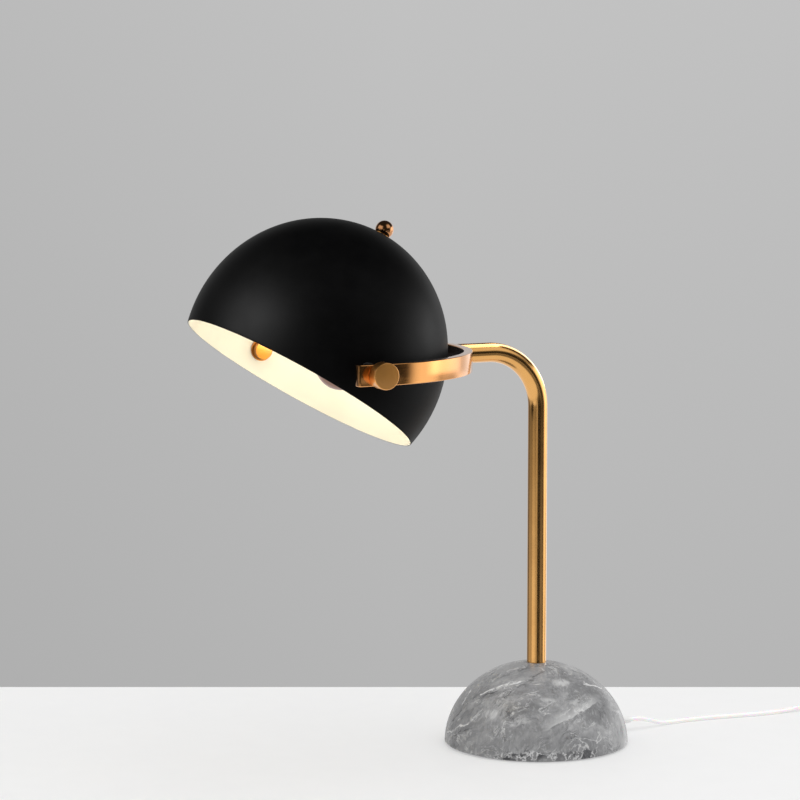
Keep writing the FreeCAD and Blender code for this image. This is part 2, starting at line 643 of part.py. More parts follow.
glass_outer = globe("glass_outer", gr, 0.0, neck_high)
glass_inner = globe("glass_inner", gr - gw, 0.75, neck_high)
on_holder(cut("bulb_glass_cut", glass_outer, glass_inner), "bulb_glass")
on_holder(turned("bulb_cap", [[
    (6.15, 40.0), (6.9, 40.0), (6.9, 60.5), (5.4, 62.6), (2.8, 64.4), (0.0, 64.4), (0.0, 62.0), (6.15, 60.0)]]), "bulb_cap")
on_holder(turned("bulb_contact", [[(0.0, 64.4), (2.6, 64.4), (2.2, 66.0), (0.0, 66.0)]]), "bulb_contact")

# ================================================================== inner leads
zb = num(arm_height)
xp = -num(pivot_back)
rm = num(ro) - num(D["ring_depth"]) / 2
lead_pts = [(-8.0, -4.0, 10.0), (0.6, -4.0, 10.0), (0.0, 0.0, 19.0), (0.0, 0.0, zb), (xp + rm, 0.0, zb)]
lead_r = {1: 3.6, 2: 7.0, 3: num(D["bend_radius"]), 4: 2.0}
for k in range(6):
    ang = math.radians(-(7.5 + 15.0 * k))
    lead_pts.append((xp + rm / math.cos(math.radians(7.5)) * math.cos(ang), rm / math.cos(math.radians(7.5)) * math.sin(ang), zb))
    lead_r[len(lead_pts) - 1] = 105.0 if k in (0, 5) else rm - 4.0
lead_pts.append((xp, -rm, zb))
lead_r[len(lead_pts) - 1] = 1.45
lead_pts.append((xp, -102.2, zb))
node(feature("inner_lead", tube_along(lead_pts, num(D["lead_radius"]), lead_r, "inner_lead")), "inner_lead")

shade_pts = [(0, -100.2, 0), (0, -92.5, 0), (0.5, -86.5, 6.5), (1, -86.5, 16.5), (1.5, -90.5, 29), (2, -91.5, 44), (4, -85, 60),
             (7.5, -73, 75), (13, -58, 86.5), (19, -42, 91.5), (23.5, -29, 90.5), (num(bs), -20.5, 88), (num(bs), -12.5, 88)]
shade_lead = feature("shade_lead", tube_along(shade_pts, num(D["lead_radius"]), None, "shade_lead"))
node(shade_lead, "shade_lead", "shade")

# ================================================================== free cord, inline switch, wound length, plug
cr = num(D["cord_radius"])
entry_z = 5.5
s0, sy, sl = num(D["switch_start"]), num(D["switch_side"]), num(D["switch_long"])
CORD_A = [(97.0, 3.0, 10.0), (106.0, 3.0, 10.0), (117.0, 4.0, 7.6), (128.0, 5.8, 3.7), (141.0, 7.9, 2.0), (160.0, 9.6, 2.0),
          (184.0, 8.7, 2.0), (208.0, 5.2, 2.0), (232.0, 2.3, 2.0), (254.0, 1.7, 2.0), (274.0, 2.6, 3.0), (290.0, 4.0, 5.5),
          (304.0, 4.0, 5.5)]
node(feature("cord_run", tube_along(CORD_A, cr, None, "cord_run")), "cord_run")

cx, cy = num(D["coil_along"]), num(D["coil_across"])
CORD_B = [(s0 + sl - 4.0, 4.0, 5.5), (362.0, 4.0, 5.5), (373.0, 3.6, 3.2), (385.0, 2.8, 2.0), (396.0, 2.8, 2.0)]
node(feature("cord_tail", tube_along(CORD_B, cr, None, "cord_tail")), "cord_tail")

coil_blank = cut("coil_blank", cylinder("coil_outer_wall", D["coil_outer"], D["coil_tall"], D["coil_along"], D["coil_across"], 0.0),
                 cylinder("coil_inner_wall", D["coil_inner"], D["coil_tall"] + 4.0, D["coil_along"], D["coil_across"], -2.0))
coil = rounded("coil_round", coil_blank, 1.6, lambda e: spans(e)[2] < 0.1)
node(coil, "cord_coil")

CORD_C = [(cx, cy - 26.8, 14.0), (386.0, -50.8, 14.0), (374.0, -52.2, 10.6), (362.5, -54.0, 6.85), (352.5, -54.0, 6.85)]
node(feature("cord_end", tube_along(CORD_C, cr, None, "cord_end")), "cord_end")

low_box = block("switch_low_box", D["switch_long"], D["switch_wide"], D["switch_split"], s0, sy - 10.0, 0.0)
low_round = rounded("switch_low_round", low_box, 6.0, lambda e: spans(e)[2] > 5)
low_soft = rounded("switch_low_soft", low_round, 1.2, lambda e: e.BoundBox.ZMax < 0.1)
SCREWS = ((s0 + 3.2, sy - 6.0), (s0 + sl - 3.2, sy + 6.0))


def screw_pair(tag, radius, start, length):
    """Two upright cylinders where the screws close the switch from below."""
    return [cylinder("%s_%d" % (tag, k), radius, length, x, y, start) for k, (x, y) in enumerate(SCREWS)]


lower = cut("switch_low_cut", low_soft,
            *screw_pair("switch_low_sink", 1.9, -0.5, 2.1),
            *screw_pair("switch_low_bore", 1.0, 1.0, 8.0),
            block("switch_low_hollow", sl - 12.0, 16.4, 10.0, s0 + 6.0, sy - 8.2, 1.8),
            cylinder("switch_low_slot", D["cord_radius"] + 0.05, sl + 20.0, s0 - 10.0, sy, entry_z, ALONG_X))
node(lower, "switch_lower_shell")
up_box = block("switch_up_box", D["switch_long"], D["switch_wide"], D["switch_tall"] - D["switch_split"], s0, sy - 10.0, D["switch_split"])
up_round = rounded("switch_up_round", up_box, 6.0, lambda e: spans(e)[2] > 5)
up_soft = rounded("switch_up_soft", up_round, 2.4, lambda e: e.BoundBox.ZMin > 13.9)
mid_x = s0 + sl / 2
upper_hollow = cut("switch_up_open", up_soft,
                   *screw_pair("switch_up_bore", 1.0, 5.0, 5.6),
                   block("switch_up_hollow", sl - 12.0, 16.4, 5.7, s0 + 6.0, sy - 8.2, D["switch_split"]),
                   block("switch_up_window", 17.2, 9.6, 6.0, mid_x - 8.6, sy - 4.8, 10.0),
                   cylinder("switch_up_slot", D["cord_radius"] + 0.05, sl + 20.0, s0 - 10.0, sy, entry_z, ALONG_X))
ears = cut("switch_ears_cut", fuse("switch_ears",
                                   block("switch_ear_a", 6.0, 2.4, 3.8, mid_x - 3.0, sy - 7.4, 8.45),
                                   block("switch_ear_b", 6.0, 2.4, 3.8, mid_x - 3.0, sy + 5.0, 8.45)),
           cylinder("switch_ear_bore", 1.06, 20.0, mid_x, sy - 10.0, 10.5, ALONG_Y))
node(fuse("switch_up_all", upper_hollow, ears), "switch_upper_shell")

# rocker: a shallow V that pivots across the cord, drawn pressed down at its far end
tip = 8.0
rocker_body = doc.addObject("PartDesign::Body", "rocker_blank")
sk = sketch_on(rocker_body, "rocker_profile", "XZ_Plane")
loop(sk, [(-6.2, -1.6), (-2.0, -3.6), (2.0, -3.6), (6.2, -1.6), (7.45, 1.2), (7.45, 5.0), (0.0, 4.0), (-7.45, 5.0), (-7.45, 1.2)])
pad = rocker_body.newObject("PartDesign::Pad", "rocker_pad")
pad.Profile = sk
pad.Length = 8.8
pad.Midplane = True
rocker_body.Tip = pad
rocker = fuse("rocker_all", rocker_body, cylinder("rocker_pin", 1.0, 13.6, 0.0, -6.8, 0.0, ALONG_Y))
node(rocker, "switch_rocker")
at(rocker, mid_x, sy, 10.5, Rotation(Vector(0, 1, 0), tip))

closing = doc.addObject("Part::Compound", "switch_screw_set")
closing.Links = [fuse("switch_screw_%d" % k, cylinder("switch_screw_head_%d" % k, 1.9, 1.2, x, y, 0.4),
                      cylinder("switch_screw_shank_%d" % k, 1.0, 9.0, x, y, 1.6)) for k, (x, y) in enumerate(SCREWS)]
node(closing, "switch_screws")

contacts = doc.addObject("Part::Compound", "switch_contact_set")
contacts.Links = [block("switch_contact_a", 12.0, 4.0, 1.0, mid_x - 18.0, sy - 7.0, 1.8),
                  block("switch_contact_b", 12.0, 4.0, 1.0, mid_x + 6.0, sy - 7.0, 1.8)]
node(contacts, "switch_contacts")

# plug: flat body with a tapered neck, two round pins
px, py = 300.0, -54.0
plug_pad = padded("plug_blank", [[(0.0, -17.6), (15.0, -17.6), (29.0, -8.6), (38.0, -5.4), (38.0, 5.4), (29.0, 8.6), (15.0, 17.6), (0.0, 17.6)]],
                  [], D["plug_tall"])
plug_round = rounded("plug_round", plug_pad, 2.4, lambda e: spans(e)[2] < 0.1 and spans(e)[0] < 17 or spans(e)[2] > 5)
plug_neck = cone("plug_neck", 4.6, 2.95, 16.0, 36.5, 0.0, D["plug_tall"] / 2, ALONG_X)
plug_shape = cut("plug_cut", fuse("plug_all", plug_round, plug_neck),
                 cylinder("plug_pin_hole_a", D["pin_radius"], 8.0, -1.0, D["pin_gap"] / 2, D["plug_tall"] / 2, ALONG_X),
                 cylinder("plug_pin_hole_b", D["pin_radius"], 8.0, -1.0, D["pin_gap"] / -2.0, D["plug_tall"] / 2, ALONG_X))
node(plug_shape, "plug_body")
at(plug_shape, px, py, 0.0)
pins = doc.addObject("Part::Compound", "plug_pin_set")
pins.Links = [rounded("plug_pin_a", cylinder("plug_pin_a_rod", D["pin_radius"], 26.0, -19.0, D["pin_gap"] / 2, D["plug_tall"] / 2, ALONG_X),
                      0.9, lambda e: e.BoundBox.XMax < -18.9),
              rounded("plug_pin_b", cylinder("plug_pin_b_rod", D["pin_radius"], 26.0, -19.0, D["pin_gap"] / -2.0, D["plug_tall"] / 2, ALONG_X),
                      0.9, lambda e: e.BoundBox.XMax < -18.9)]
node(pins, "plug_pins")
at(pins, px, py, 0.0)

# ------------------------------------------------------------------ check and write
doc.recompute()
bad = []
for obj in doc.Objects:
    if "Invalid" in obj.State or "Error" in obj.State:
        bad.append("%s (%s): %s" % (obj.Label, obj.TypeId, obj.State))
for label, obj in NODES.items():
    shape = obj.Shape
    if shape.isNull():
        bad.append(label + ": null shape")
    elif not shape.isValid():
        bad.append(label + ": shape not valid")
    elif shape.Volume < 0.5 or not shape.Solids:
        bad.append(label + ": no volume")
    elif label not in ("terminal_screws", "switch_contacts", "switch_screws", "plug_pins") and len(shape.Solids) != 1:
        bad.append("%s: %d solids" % (label, len(shape.Solids)))
if bad:
    raise SystemExit("not written:\n" + "\n".join(bad))

os.makedirs("parts", exist_ok=True)
for label, obj in sorted(NODES.items()):
    obj.Shape.exportStep("parts/%s.step" % label)
    b = obj.Shape.BoundBox
    print("%-22s vol %9.1f  x %.1f..%.1f  y %.1f..%.1f  z %.1f..%.1f" % (
        label, obj.Shape.Volume, b.XMin, b.XMax, b.YMin, b.YMax, b.ZMin, b.ZMax))
print("nodes", len(NODES))
print("cord radii", [r for r in RADII if r[0].startswith("cord")])
print("lead radii", [r for r in RADII if not r[0].startswith("cord")])
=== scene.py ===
import math

import bmesh
import bpy
from mathutils import Matrix, Vector


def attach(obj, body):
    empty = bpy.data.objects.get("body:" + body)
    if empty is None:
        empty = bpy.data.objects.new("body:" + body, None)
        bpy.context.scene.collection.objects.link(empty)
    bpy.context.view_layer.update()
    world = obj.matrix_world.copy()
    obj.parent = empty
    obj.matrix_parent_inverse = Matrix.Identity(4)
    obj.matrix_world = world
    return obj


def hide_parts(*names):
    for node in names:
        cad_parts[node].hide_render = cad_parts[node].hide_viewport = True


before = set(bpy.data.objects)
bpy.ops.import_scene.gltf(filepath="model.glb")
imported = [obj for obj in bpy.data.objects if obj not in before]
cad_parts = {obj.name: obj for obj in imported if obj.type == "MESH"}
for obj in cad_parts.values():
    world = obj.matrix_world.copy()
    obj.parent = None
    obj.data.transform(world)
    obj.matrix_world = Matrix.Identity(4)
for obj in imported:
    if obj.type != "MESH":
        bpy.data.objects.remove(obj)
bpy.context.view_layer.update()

scene = bpy.context.scene
MM = 0.001

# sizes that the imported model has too, in millimetres
PIVOT = Vector((-214.8, 0.0, 346.1))
TILT = math.radians(32.0)
SEMI, CROWN, LIFT, RIM, SHEET = 109.4, 115.2, 6.1, 22.1, 0.8
RING_OUT, RING_DEEP, RING_TALL = 134.3, 7.4, 17.4
BEND, ARM, TUBE = 48.6, 346.1, 8.5
BULB_X, BULB_Z, BULB_R = 25.0, 11.0, 22.3

AT_SHADE = Matrix.Translation(PIVOT) @ Matrix.Rotation(TILT, 4, "Y")
AT_BULB = AT_SHADE @ Matrix.Translation((BULB_X, 0, 0))
AT_PIVOT = Matrix.Translation(PIVOT)


def put(obj):
    scene.collection.objects.link(obj)
    return obj


# ------------------------------------------------------------------ camera
cam = put(bpy.data.objects.new("camera", bpy.data.cameras.new("camera")))
cam.data.sensor_width = 36.0
cam.data.lens = 2913.3 / 800.0 * 36.0
cam.data.clip_start, cam.data.clip_end = 0.05, 60.0
right, up, back = Vector((0.89965, -0.43662, 0.0)), Vector((0.04841, 0.09976, 0.99383)), Vector((-0.43392, -0.8941, 0.11089))
cam.matrix_world = Matrix.Translation(Vector((-1.20547, -2.20983, 0.583))) @ Matrix((
    (right.x, up.x, back.x), (right.y, up.y, back.y), (right.z, up.z, back.z))).to_4x4()
scene.camera = cam

# ------------------------------------------------------------------ mains cord
ROUTE = [(97.0, 3.0, 10.0), (106.0, 3.0, 10.0), (117.0, 4.0, 7.6), (128.0, 5.8, 3.7), (141.0, 7.9, 2.0), (160.0, 9.6, 2.0),
         (184.0, 8.7, 2.0), (208.0, 5.2, 2.0), (232.0, 2.3, 2.0), (254.0, 1.7, 2.0), (274.0, 2.6, 3.0), (290.0, 4.0, 5.5),
         (302.0, 4.0, 5.5), (314.0, 4.0, 4.2), (328.0, 4.0, 4.1), (342.0, 4.0, 4.2), (354.0, 4.0, 5.5),
         (362.0, 4.0, 5.5), (373.0, 3.6, 3.2), (385.0, 2.8, 2.0)]
coil_at, per_turn, step = Vector((396.0, -24.0, 0.0)), 16, 2 * math.pi / 16
winding = [  # turns, radius from and to, height from and to
    (2.5, 26.8, 16.6, 2.0, 2.0), (0.25, 16.6, 16.6, 2.0, 6.03), (2.5, 16.6, 26.8, 6.03, 6.03), (0.25, 26.8, 26.8, 6.03, 10.06),
    (2.5, 26.8, 16.6, 10.06, 10.06), (0.25, 16.6, 16.6, 10.06, 14.09), (2.25, 16.6, 26.8, 14.09, 14.09)]
angle = math.pi / 2
for turns, r0, r1, z0, z1 in winding:
    count = int(round(turns * per_turn))
    for k in range(count):
        part = k / count
        r = (r0 + (r1 - r0) * part) / 0.981
        ROUTE.append((coil_at.x + r * math.cos(angle), coil_at.y + r * math.sin(angle), z0 + (z1 - z0) * part))
        angle -= step
ROUTE += [(396.0, -50.8, 14.09), (386.0, -50.8, 14.0), (374.0, -52.2, 10.6), (362.5, -54.0, 6.85), (352.5, -54.0, 6.85)]

curve = bpy.data.curves.new("mains_cord", "CURVE")
curve.dimensions = "3D"
spline = curve.splines.new("NURBS")
spline.points.add(len(ROUTE) - 1)
for point, (x, y, z) in zip(spline.points, ROUTE):
    point.co = (x * MM, y * MM, z * MM, 1.0)
    point.radius = 2.0 * MM  # with a bevel of one, so that the curve's box is no wider than the cord
spline.order_u = 3
spline.use_endpoint_u = True
spline.resolution_u = 6
curve.bevel_depth = 1.0
curve.bevel_resolution = 6
curve.use_fill_caps = True
cord = put(bpy.data.objects.new("mains_cord", curve))
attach(cord, "stand")
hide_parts("cord_run", "cord_tail", "cord_coil", "cord_end")


# ------------------------------------------------------------------ node helpers
class Shader:
    def __init__(self, name):
        self.mat = bpy.data.materials.new(name)
        self.mat.use_nodes = True
        self.tree = self.mat.node_tree
        self.tree.nodes.clear()
        self.out = self.add("ShaderNodeOutputMaterial")
        self.bsdf = self.add("ShaderNodeBsdfPrincipled")
        self.link(self.bsdf.outputs[0], self.out.inputs[0])

    def add(self, kind, **props):
        n = self.tree.nodes.new(kind)
        for k, v in props.items():
            setattr(n, k, v)
        return n

    def link(self, a, b):
        self.tree.links.new(a, b)

    def feed(self, socket, value):
        if isinstance(value, bpy.types.NodeSocket):
            self.link(value, socket)
        elif value is not None:
            socket.default_value = value

    def set(self, **values):
        for k, v in values.items():
            self.feed(self.bsdf.inputs[k.replace("_", " ")], v)
        return self

    def coords(self):
        return self.add("ShaderNodeTexCoord").outputs["Object"]

    def math(self, op, a, b=None, c=None, clamp=False):
        n = self.add("ShaderNodeMath", operation=op, use_clamp=clamp)
        for i, v in enumerate((a, b, c)):
            self.feed(n.inputs[i], v)
        return n.outputs[0]

    def vmath(self, op, a, b=None, scale=None):
        n = self.add("ShaderNodeVectorMath", operation=op)
        self.feed(n.inputs[0], a)
        if b is not None:
            self.feed(n.inputs[1], b)
        if scale is not None:
            self.feed(n.inputs["Scale"], scale)
        return n.outputs["Value"] if op in ("LENGTH", "DOT_PRODUCT", "DISTANCE") else n.outputs[0]

    def xyz(self, v):
        n = self.add("ShaderNodeSeparateXYZ")
        self.link(v, n.inputs[0])
        return n.outputs[0], n.outputs[1], n.outputs[2]

    def join(self, x, y, z):
        n = self.add("ShaderNodeCombineXYZ")
        for i, v in enumerate((x, y, z)):
            self.feed(n.inputs[i], v)
        return n.outputs[0]

    def mapped(self, v, scale=(1, 1, 1), rot=(0, 0, 0), loc=(0, 0, 0)):
        n = self.add("ShaderNodeMapping")
        self.link(v, n.inputs[0])
        n.inputs["Location"].default_value = loc
        n.inputs["Rotation"].default_value = rot
        n.inputs["Scale"].default_value = scale
        return n.outputs[0]

    def noise(self, v, scale, detail=4.0, rough=0.55, distortion=0.0, lac=2.0, kind="FBM"):
        n = self.add("ShaderNodeTexNoise", noise_type=kind)
        self.link(v, n.inputs["Vector"])
        n.inputs["Scale"].default_value = scale
        n.inputs["Detail"].default_value = detail
        n.inputs["Roughness"].default_value = rough
        n.inputs["Lacunarity"].default_value = lac
        n.inputs["Distortion"].default_value = distortion
        return n.outputs

    def voronoi(self, v, scale, feature="F1", randomness=1.0):
        n = self.add("ShaderNodeTexVoronoi", feature=feature)
        self.link(v, n.inputs["Vector"])
        n.inputs["Scale"].default_value = scale
        n.inputs["Randomness"].default_value = randomness
        return n.outputs

    def remap(self, v, a, b, c=0.0, d=1.0, smooth=True):
        n = self.add("ShaderNodeMapRange", interpolation_type="SMOOTHSTEP" if smooth else "LINEAR")
        self.feed(n.inputs[0], v)
        for i, k in enumerate((a, b, c, d), start=1):
            n.inputs[i].default_value = k
        return n.outputs[0]

    def ramp(self, v, stops):
        n = self.add("ShaderNodeValToRGB")
        self.link(v, n.inputs[0])
        e = n.color_ramp.elements
        while len(e) < len(stops):
            e.new(0.5)
        for el, (pos, col) in zip(e, stops):
            el.position = pos
            el.color = (*col, 1.0) if len(col) == 3 else col
        return n.outputs[0]

    def mix(self, f, a, b, blend="MIX"):
        n = self.add("ShaderNodeMix", data_type="RGBA", blend_type=blend)
        self.feed(n.inputs[0], f)
        for i, v in ((6, a), (7, b)):
            if isinstance(v, tuple) and len(v) == 3:
                v = (*v, 1.0)
            self.feed(n.inputs[i], v)
        return n.outputs[2]

    def bump(self, height, strength, distance, normal=None):
        n = self.add("ShaderNodeBump")
        n.inputs["Strength"].default_value = strength
        n.inputs["Distance"].default_value = distance
        self.link(height, n.inputs["Height"])
        if normal is not None:
            self.link(normal, n.inputs["Normal"])
        return n.outputs[0]


def dress(name, *mats):
    """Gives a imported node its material."""
    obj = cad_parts[name]
    if not obj.material_slots:
        for m in mats:
            obj.data.materials.append(m)
    for s, m in zip(obj.material_slots, mats):
        s.material = m


# ------------------------------------------------------------------ materials
def brass(name, tone, dark, rough, along=None, streak=0.5):
    """Lacquered, brushed metal: long fine lines, a slow change of tone and a few dull places."""
    s = Shader(name)
    p = s.coords()
    if along == "z":
        line = s.mapped(p, (900.0, 900.0, 14.0))
    elif along == "attr":
        a = s.add("ShaderNodeAttribute", attribute_name="lie")
        line = s.mapped(a.outputs["Vector"], (14.0, 900.0, 900.0))
    elif along == "ring":
        q = s.vmath("SUBTRACT", p, (PIVOT.x * MM, 0.0, PIVOT.z * MM))
        x, y, z = s.xyz(q)
        turn = s.math("MULTIPLY", s.math("ARCTAN2", y, x), 0.1343)
        line = s.mapped(s.join(turn, z, s.vmath("LENGTH", s.join(x, y, 0.0))), (16.0, 900.0, 900.0))
    else:
        line = s.mapped(p, (420.0, 420.0, 420.0))
    fine = s.noise(line, 1.0, 3.0, 0.6)[0]
    slow = s.noise(p, 26.0, 3.0, 0.5)[0]
    dull = s.noise(p, 90.0, 5.0, 0.6)[0]
    col = s.mix(s.remap(slow, 0.3, 0.7), dark, tone)
    col = s.mix(s.math("MULTIPLY", s.remap(fine, 0.35, 0.75), 0.16 * streak), col, tuple(min(1.0, c * 1.25) for c in tone))
    r = s.math("ADD", s.math("MULTIPLY", s.remap(fine, 0.25, 0.8), 0.10 * streak), s.math("MULTIPLY", s.remap(dull, 0.35, 0.8), 0.05))
    s.set(Base_Color=col, Metallic=1.0, Roughness=s.math("ADD", r, rough - 0.05 * streak - 0.02))
    s.set(Normal=s.bump(fine, 0.06 * streak, 0.0002))
    s.bsdf.inputs["Coat Weight"].default_value = 0.7
    s.bsdf.inputs["Coat Roughness"].default_value = 0.12
    return s.mat


def paint_black():
    s = Shader("matt_black_paint")
    p = s.coords()
    grain = s.noise(p, 2600.0, 2.0, 0.5)[0]
    wave = s.noise(p, 22.0, 2.0, 0.5)[0]
    rub = s.noise(p, 60.0, 6.0, 0.6)[0]
    s.set(Base_Color=s.mix(s.remap(rub, 0.3, 0.8), (0.0010, 0.0010, 0.0011), (0.0020, 0.0020, 0.0021)),
          Roughness=s.remap(wave, 0.3, 0.7, 0.47, 0.52), Normal=s.bump(grain, 0.10, 0.00008))
    s.bsdf.inputs["Specular IOR Level"].default_value = 0.06
    return s.mat


def paint_cream():
    s = Shader("cream_white_enamel")
    p = s.coords()
    grain = s.noise(p, 1500.0, 2.0, 0.5)[0]
    slow = s.noise(p, 18.0, 3.0, 0.5)[0]
    s.set(Base_Color=s.mix(s.remap(slow, 0.3, 0.7), (0.86, 0.84, 0.76), (0.89, 0.875, 0.80)),
          Roughness=s.remap(slow, 0.3, 0.7, 0.36, 0.44), Normal=s.bump(grain, 0.1, 0.00008))
    return s.mat


def marble():
    s = Shader("grey_marble")
    p = s.coords()
    # the beds of the stone rise to the right as seen from the front
    e1, e2, e3 = (0.815, -0.396, 0.423), (-0.381, 0.185, 0.906), (-0.434, -0.894, 0.111)
    bend = s.vmath("SCALE", s.vmath("SUBTRACT", s.noise(p, 19.0, 3.0, 0.5)[1], (0.5, 0.5, 0.5)), scale=0.040)
    q = s.vmath("ADD", p, bend)
    a, b, c = s.vmath("DOT_PRODUCT", q, e1), s.vmath("DOT_PRODUCT", q, e2), s.vmath("DOT_PRODUCT", q, e3)
    bed = s.join(s.math("MULTIPLY", a, 0.38), b, s.math("MULTIPLY", c, 0.7))
    slow = s.noise(p, 17.0, 2.0, 0.5)[0]
    cloud = s.noise(bed, 62.0, 7.0, 0.60, 0.35)[0]
    body = s.ramp(cloud, [(0.30, (0.165, 0.166, 0.169)), (0.46, (0.222, 0.223, 0.227)), (0.58, (0.268, 0.269, 0.273)), (0.72, (0.36, 0.36, 0.363))])
    # pale clouds in patches
    patch = s.math("MULTIPLY", s.remap(s.noise(bed, 44.0, 8.0, 0.66, 0.8)[0], 0.50, 0.68), s.remap(slow, 0.40, 0.60))
    body = s.mix(s.math("MULTIPLY", patch, 0.62), body, (0.56, 0.56, 0.56))
    # darker fields
    field = s.remap(s.noise(p, 30.0, 4.0, 0.5)[0], 0.56, 0.72)
    body = s.mix(s.math("MULTIPLY", field, 0.35), body, (0.15, 0.151, 0.155))

    def ridge(vec, scale, width, detail, rough, twist):
        n = s.noise(vec, scale, detail, rough, twist)[0]
        return s.remap(s.math("ABSOLUTE", s.math("SUBTRACT", n, 0.5)), 0.0, width, 1.0, 0.0)

    gate_a = s.remap(s.noise(p, 46.0, 3.0, 0.6)[0], 0.46, 0.60)
    gate_b = s.remap(s.noise(s.mapped(p, loc=(3.1, 1.7, 0.4)), 52.0, 3.0, 0.6)[0], 0.50, 0.62)
    gate_c = s.remap(s.noise(s.mapped(p, loc=(1.3, 5.2, 2.4)), 40.0, 3.0, 0.6)[0], 0.52, 0.64)
    thin = ridge(bed, 58.0, 0.020, 5.0, 0.60, 0.5)
    body = s.mix(s.math("MULTIPLY", s.math("MULTIPLY", thin, gate_a), 0.72), body, (0.66, 0.66, 0.655))
    dark = ridge(s.mapped(bed, loc=(0.7, 0.2, 0.9)), 74.0, 0.018, 6.0, 0.62, 0.8)
    body = s.mix(s.math("MULTIPLY", s.math("MULTIPLY", dark, gate_b), 0.70), body, (0.055, 0.055, 0.06))
    wisp = ridge(s.mapped(bed, loc=(2.7, 1.2, 0.1)), 110.0, 0.030, 6.0, 0.66, 1.0)
    body = s.mix(s.math("MULTIPLY", s.math("MULTIPLY", wisp, gate_c), 0.55), body, (0.60, 0.60, 0.60))
    # fine upright hatching of the crystals
    x, y, z = s.xyz(p)
    hatch = s.noise(s.join(s.math("MULTIPLY", x, 1.0), s.math("MULTIPLY", y, 1.0), s.math("MULTIPLY", z, 0.35)), 430.0, 4.0, 0.65, 0.4)[0]
    body = s.mix(s.math("MULTIPLY", s.remap(hatch, 0.50, 0.72), 0.34), body, (0.50, 0.50, 0.50))
    body = s.mix(s.math("MULTIPLY", s.remap(hatch, 0.28, 0.48, 1.0, 0.0), 0.34), body, (0.11, 0.111, 0.115))
    # one bed ends in a sharp pale edge
    u, v, w = (s.vmath("DOT_PRODUCT", p, k) for k in ((0.89965, -0.43662, 0.0), (0.04841, 0.09976, 0.99383), (-0.43392, -0.8941, 0.11089)))
    ahead = s.remap(w, 0.006, 0.018)
    shake = s.vmath("SUBTRACT", s.noise(p, 70.0, 5.0, 0.62)[1], (0.5, 0.5, 0.5))
    sx, sy, _ = s.xyz(shake)
    uu, vv = s.math("ADD", u, s.math("MULTIPLY", sx, 0.006)), s.math("ADD", v, s.math("MULTIPLY", sy, 0.008))
    d = s.math("SUBTRACT", s.math("ADD", s.math("MULTIPLY", uu, -0.414), s.math("MULTIPLY", vv, 0.910)), 0.0145)
    edge = s.math("MULTIPLY", s.remap(d, -0.0003, 0.0005), s.remap(d, 0.0, 0.010, 1.0, 0.0, smooth=False))
    along = s.math("ADD", s.math("MULTIPLY", u, 0.910), s.math("MULTIPLY", v, 0.414))
    edge = s.math("MULTIPLY", edge, s.math("MULTIPLY", s.remap(along, 0.006, 0.020), s.remap(along, 0.056, 0.068, 1.0, 0.0)))
    body = s.mix(s.math("MULTIPLY", s.math("MULTIPLY", edge, ahead), 0.62), body, (0.58, 0.58, 0.58))

    # single veins and pale patches on the front
    def vein(u0, v0, u1, v1, wide):
        du, dv = (u1 - u0) * MM, (v1 - v0) * MM
        long2 = du * du + dv * dv
        a0, b0 = s.math("SUBTRACT", uu, u0 * MM), s.math("SUBTRACT", vv, v0 * MM)
        t = s.math("DIVIDE", s.math("ADD", s.math("MULTIPLY", a0, du), s.math("MULTIPLY", b0, dv)), long2, clamp=True)
        off = s.vmath("LENGTH", s.join(s.math("SUBTRACT", a0, s.math("MULTIPLY", t, du)), s.math("SUBTRACT", b0, s.math("MULTIPLY", t, dv)), 0.0))
        return s.remap(off, 0.15 * wide * MM, wide * MM, 1.0, 0.0)

    def blot(u0, v0, wide, tall):
        e = s.join(s.math("DIVIDE", s.math("SUBTRACT", uu, u0 * MM), wide * MM), s.math("DIVIDE", s.math("SUBTRACT", vv, v0 * MM), tall * MM), 0.0)
        return s.remap(s.vmath("LENGTH", e), 0.25, 1.0, 1.0, 0.0)

    broken_up = s.remap(s.noise(p, 240.0, 5.0, 0.7)[0], 0.36, 0.56)
    pale = None
    for one in ((-50, 45, -33, 53, 0.75), (-33, 53, -16, 57, 0.75), (-47, 57.6, -37, 63, 0.6), (-78, 10, -57, 24.5, 0.8),
                (40, 54.5, 56, 49.4, 0.8), (29.5, 67, 47, 58.4, 0.7), (-66, 36, -58, 47, 0.6)):
        line = vein(*one)
        pale = line if pale is None else s.math("MAXIMUM", pale, line)
    body = s.mix(s.math("MULTIPLY", s.math("MULTIPLY", pale, ahead), s.math("MULTIPLY", broken_up, 0.85)), body, (0.72, 0.72, 0.715))
    crack = None
    for one in ((-49, 43, -36, 49, 0.6), (-30, 44, -22, 50, 0.6), (-74, 20, -66, 31, 0.7), (-72, 9, -61, 17, 0.6), (31, 64.5, 44, 57.6, 0.55), (-5, 61, 6, 65, 0.5)):
        line = vein(*one)
        crack = line if crack is None else s.math("MAXIMUM", crack, line)
    body = s.mix(s.math("MULTIPLY", s.math("MULTIPLY", crack, ahead), s.math("MULTIPLY", broken_up, 0.80)), body, (0.045, 0.045, 0.05))
    cloud_up = None
    for one in ((-20, 26, 20, 7), (8, 41, 12, 6), (21, 56.5, 14, 4.5), (-40, 30, 12, 6)):
        spot = blot(*one)
        cloud_up = spot if cloud_up is None else s.math("MAXIMUM", cloud_up, spot)
    ragged = s.remap(s.noise(bed, 150.0, 7.0, 0.7, 0.6)[0], 0.42, 0.60)
    body = s.mix(s.math("MULTIPLY", s.math("MULTIPLY", cloud_up, ahead), s.math("MULTIPLY", ragged, 0.62)), body, (0.60, 0.60, 0.60))
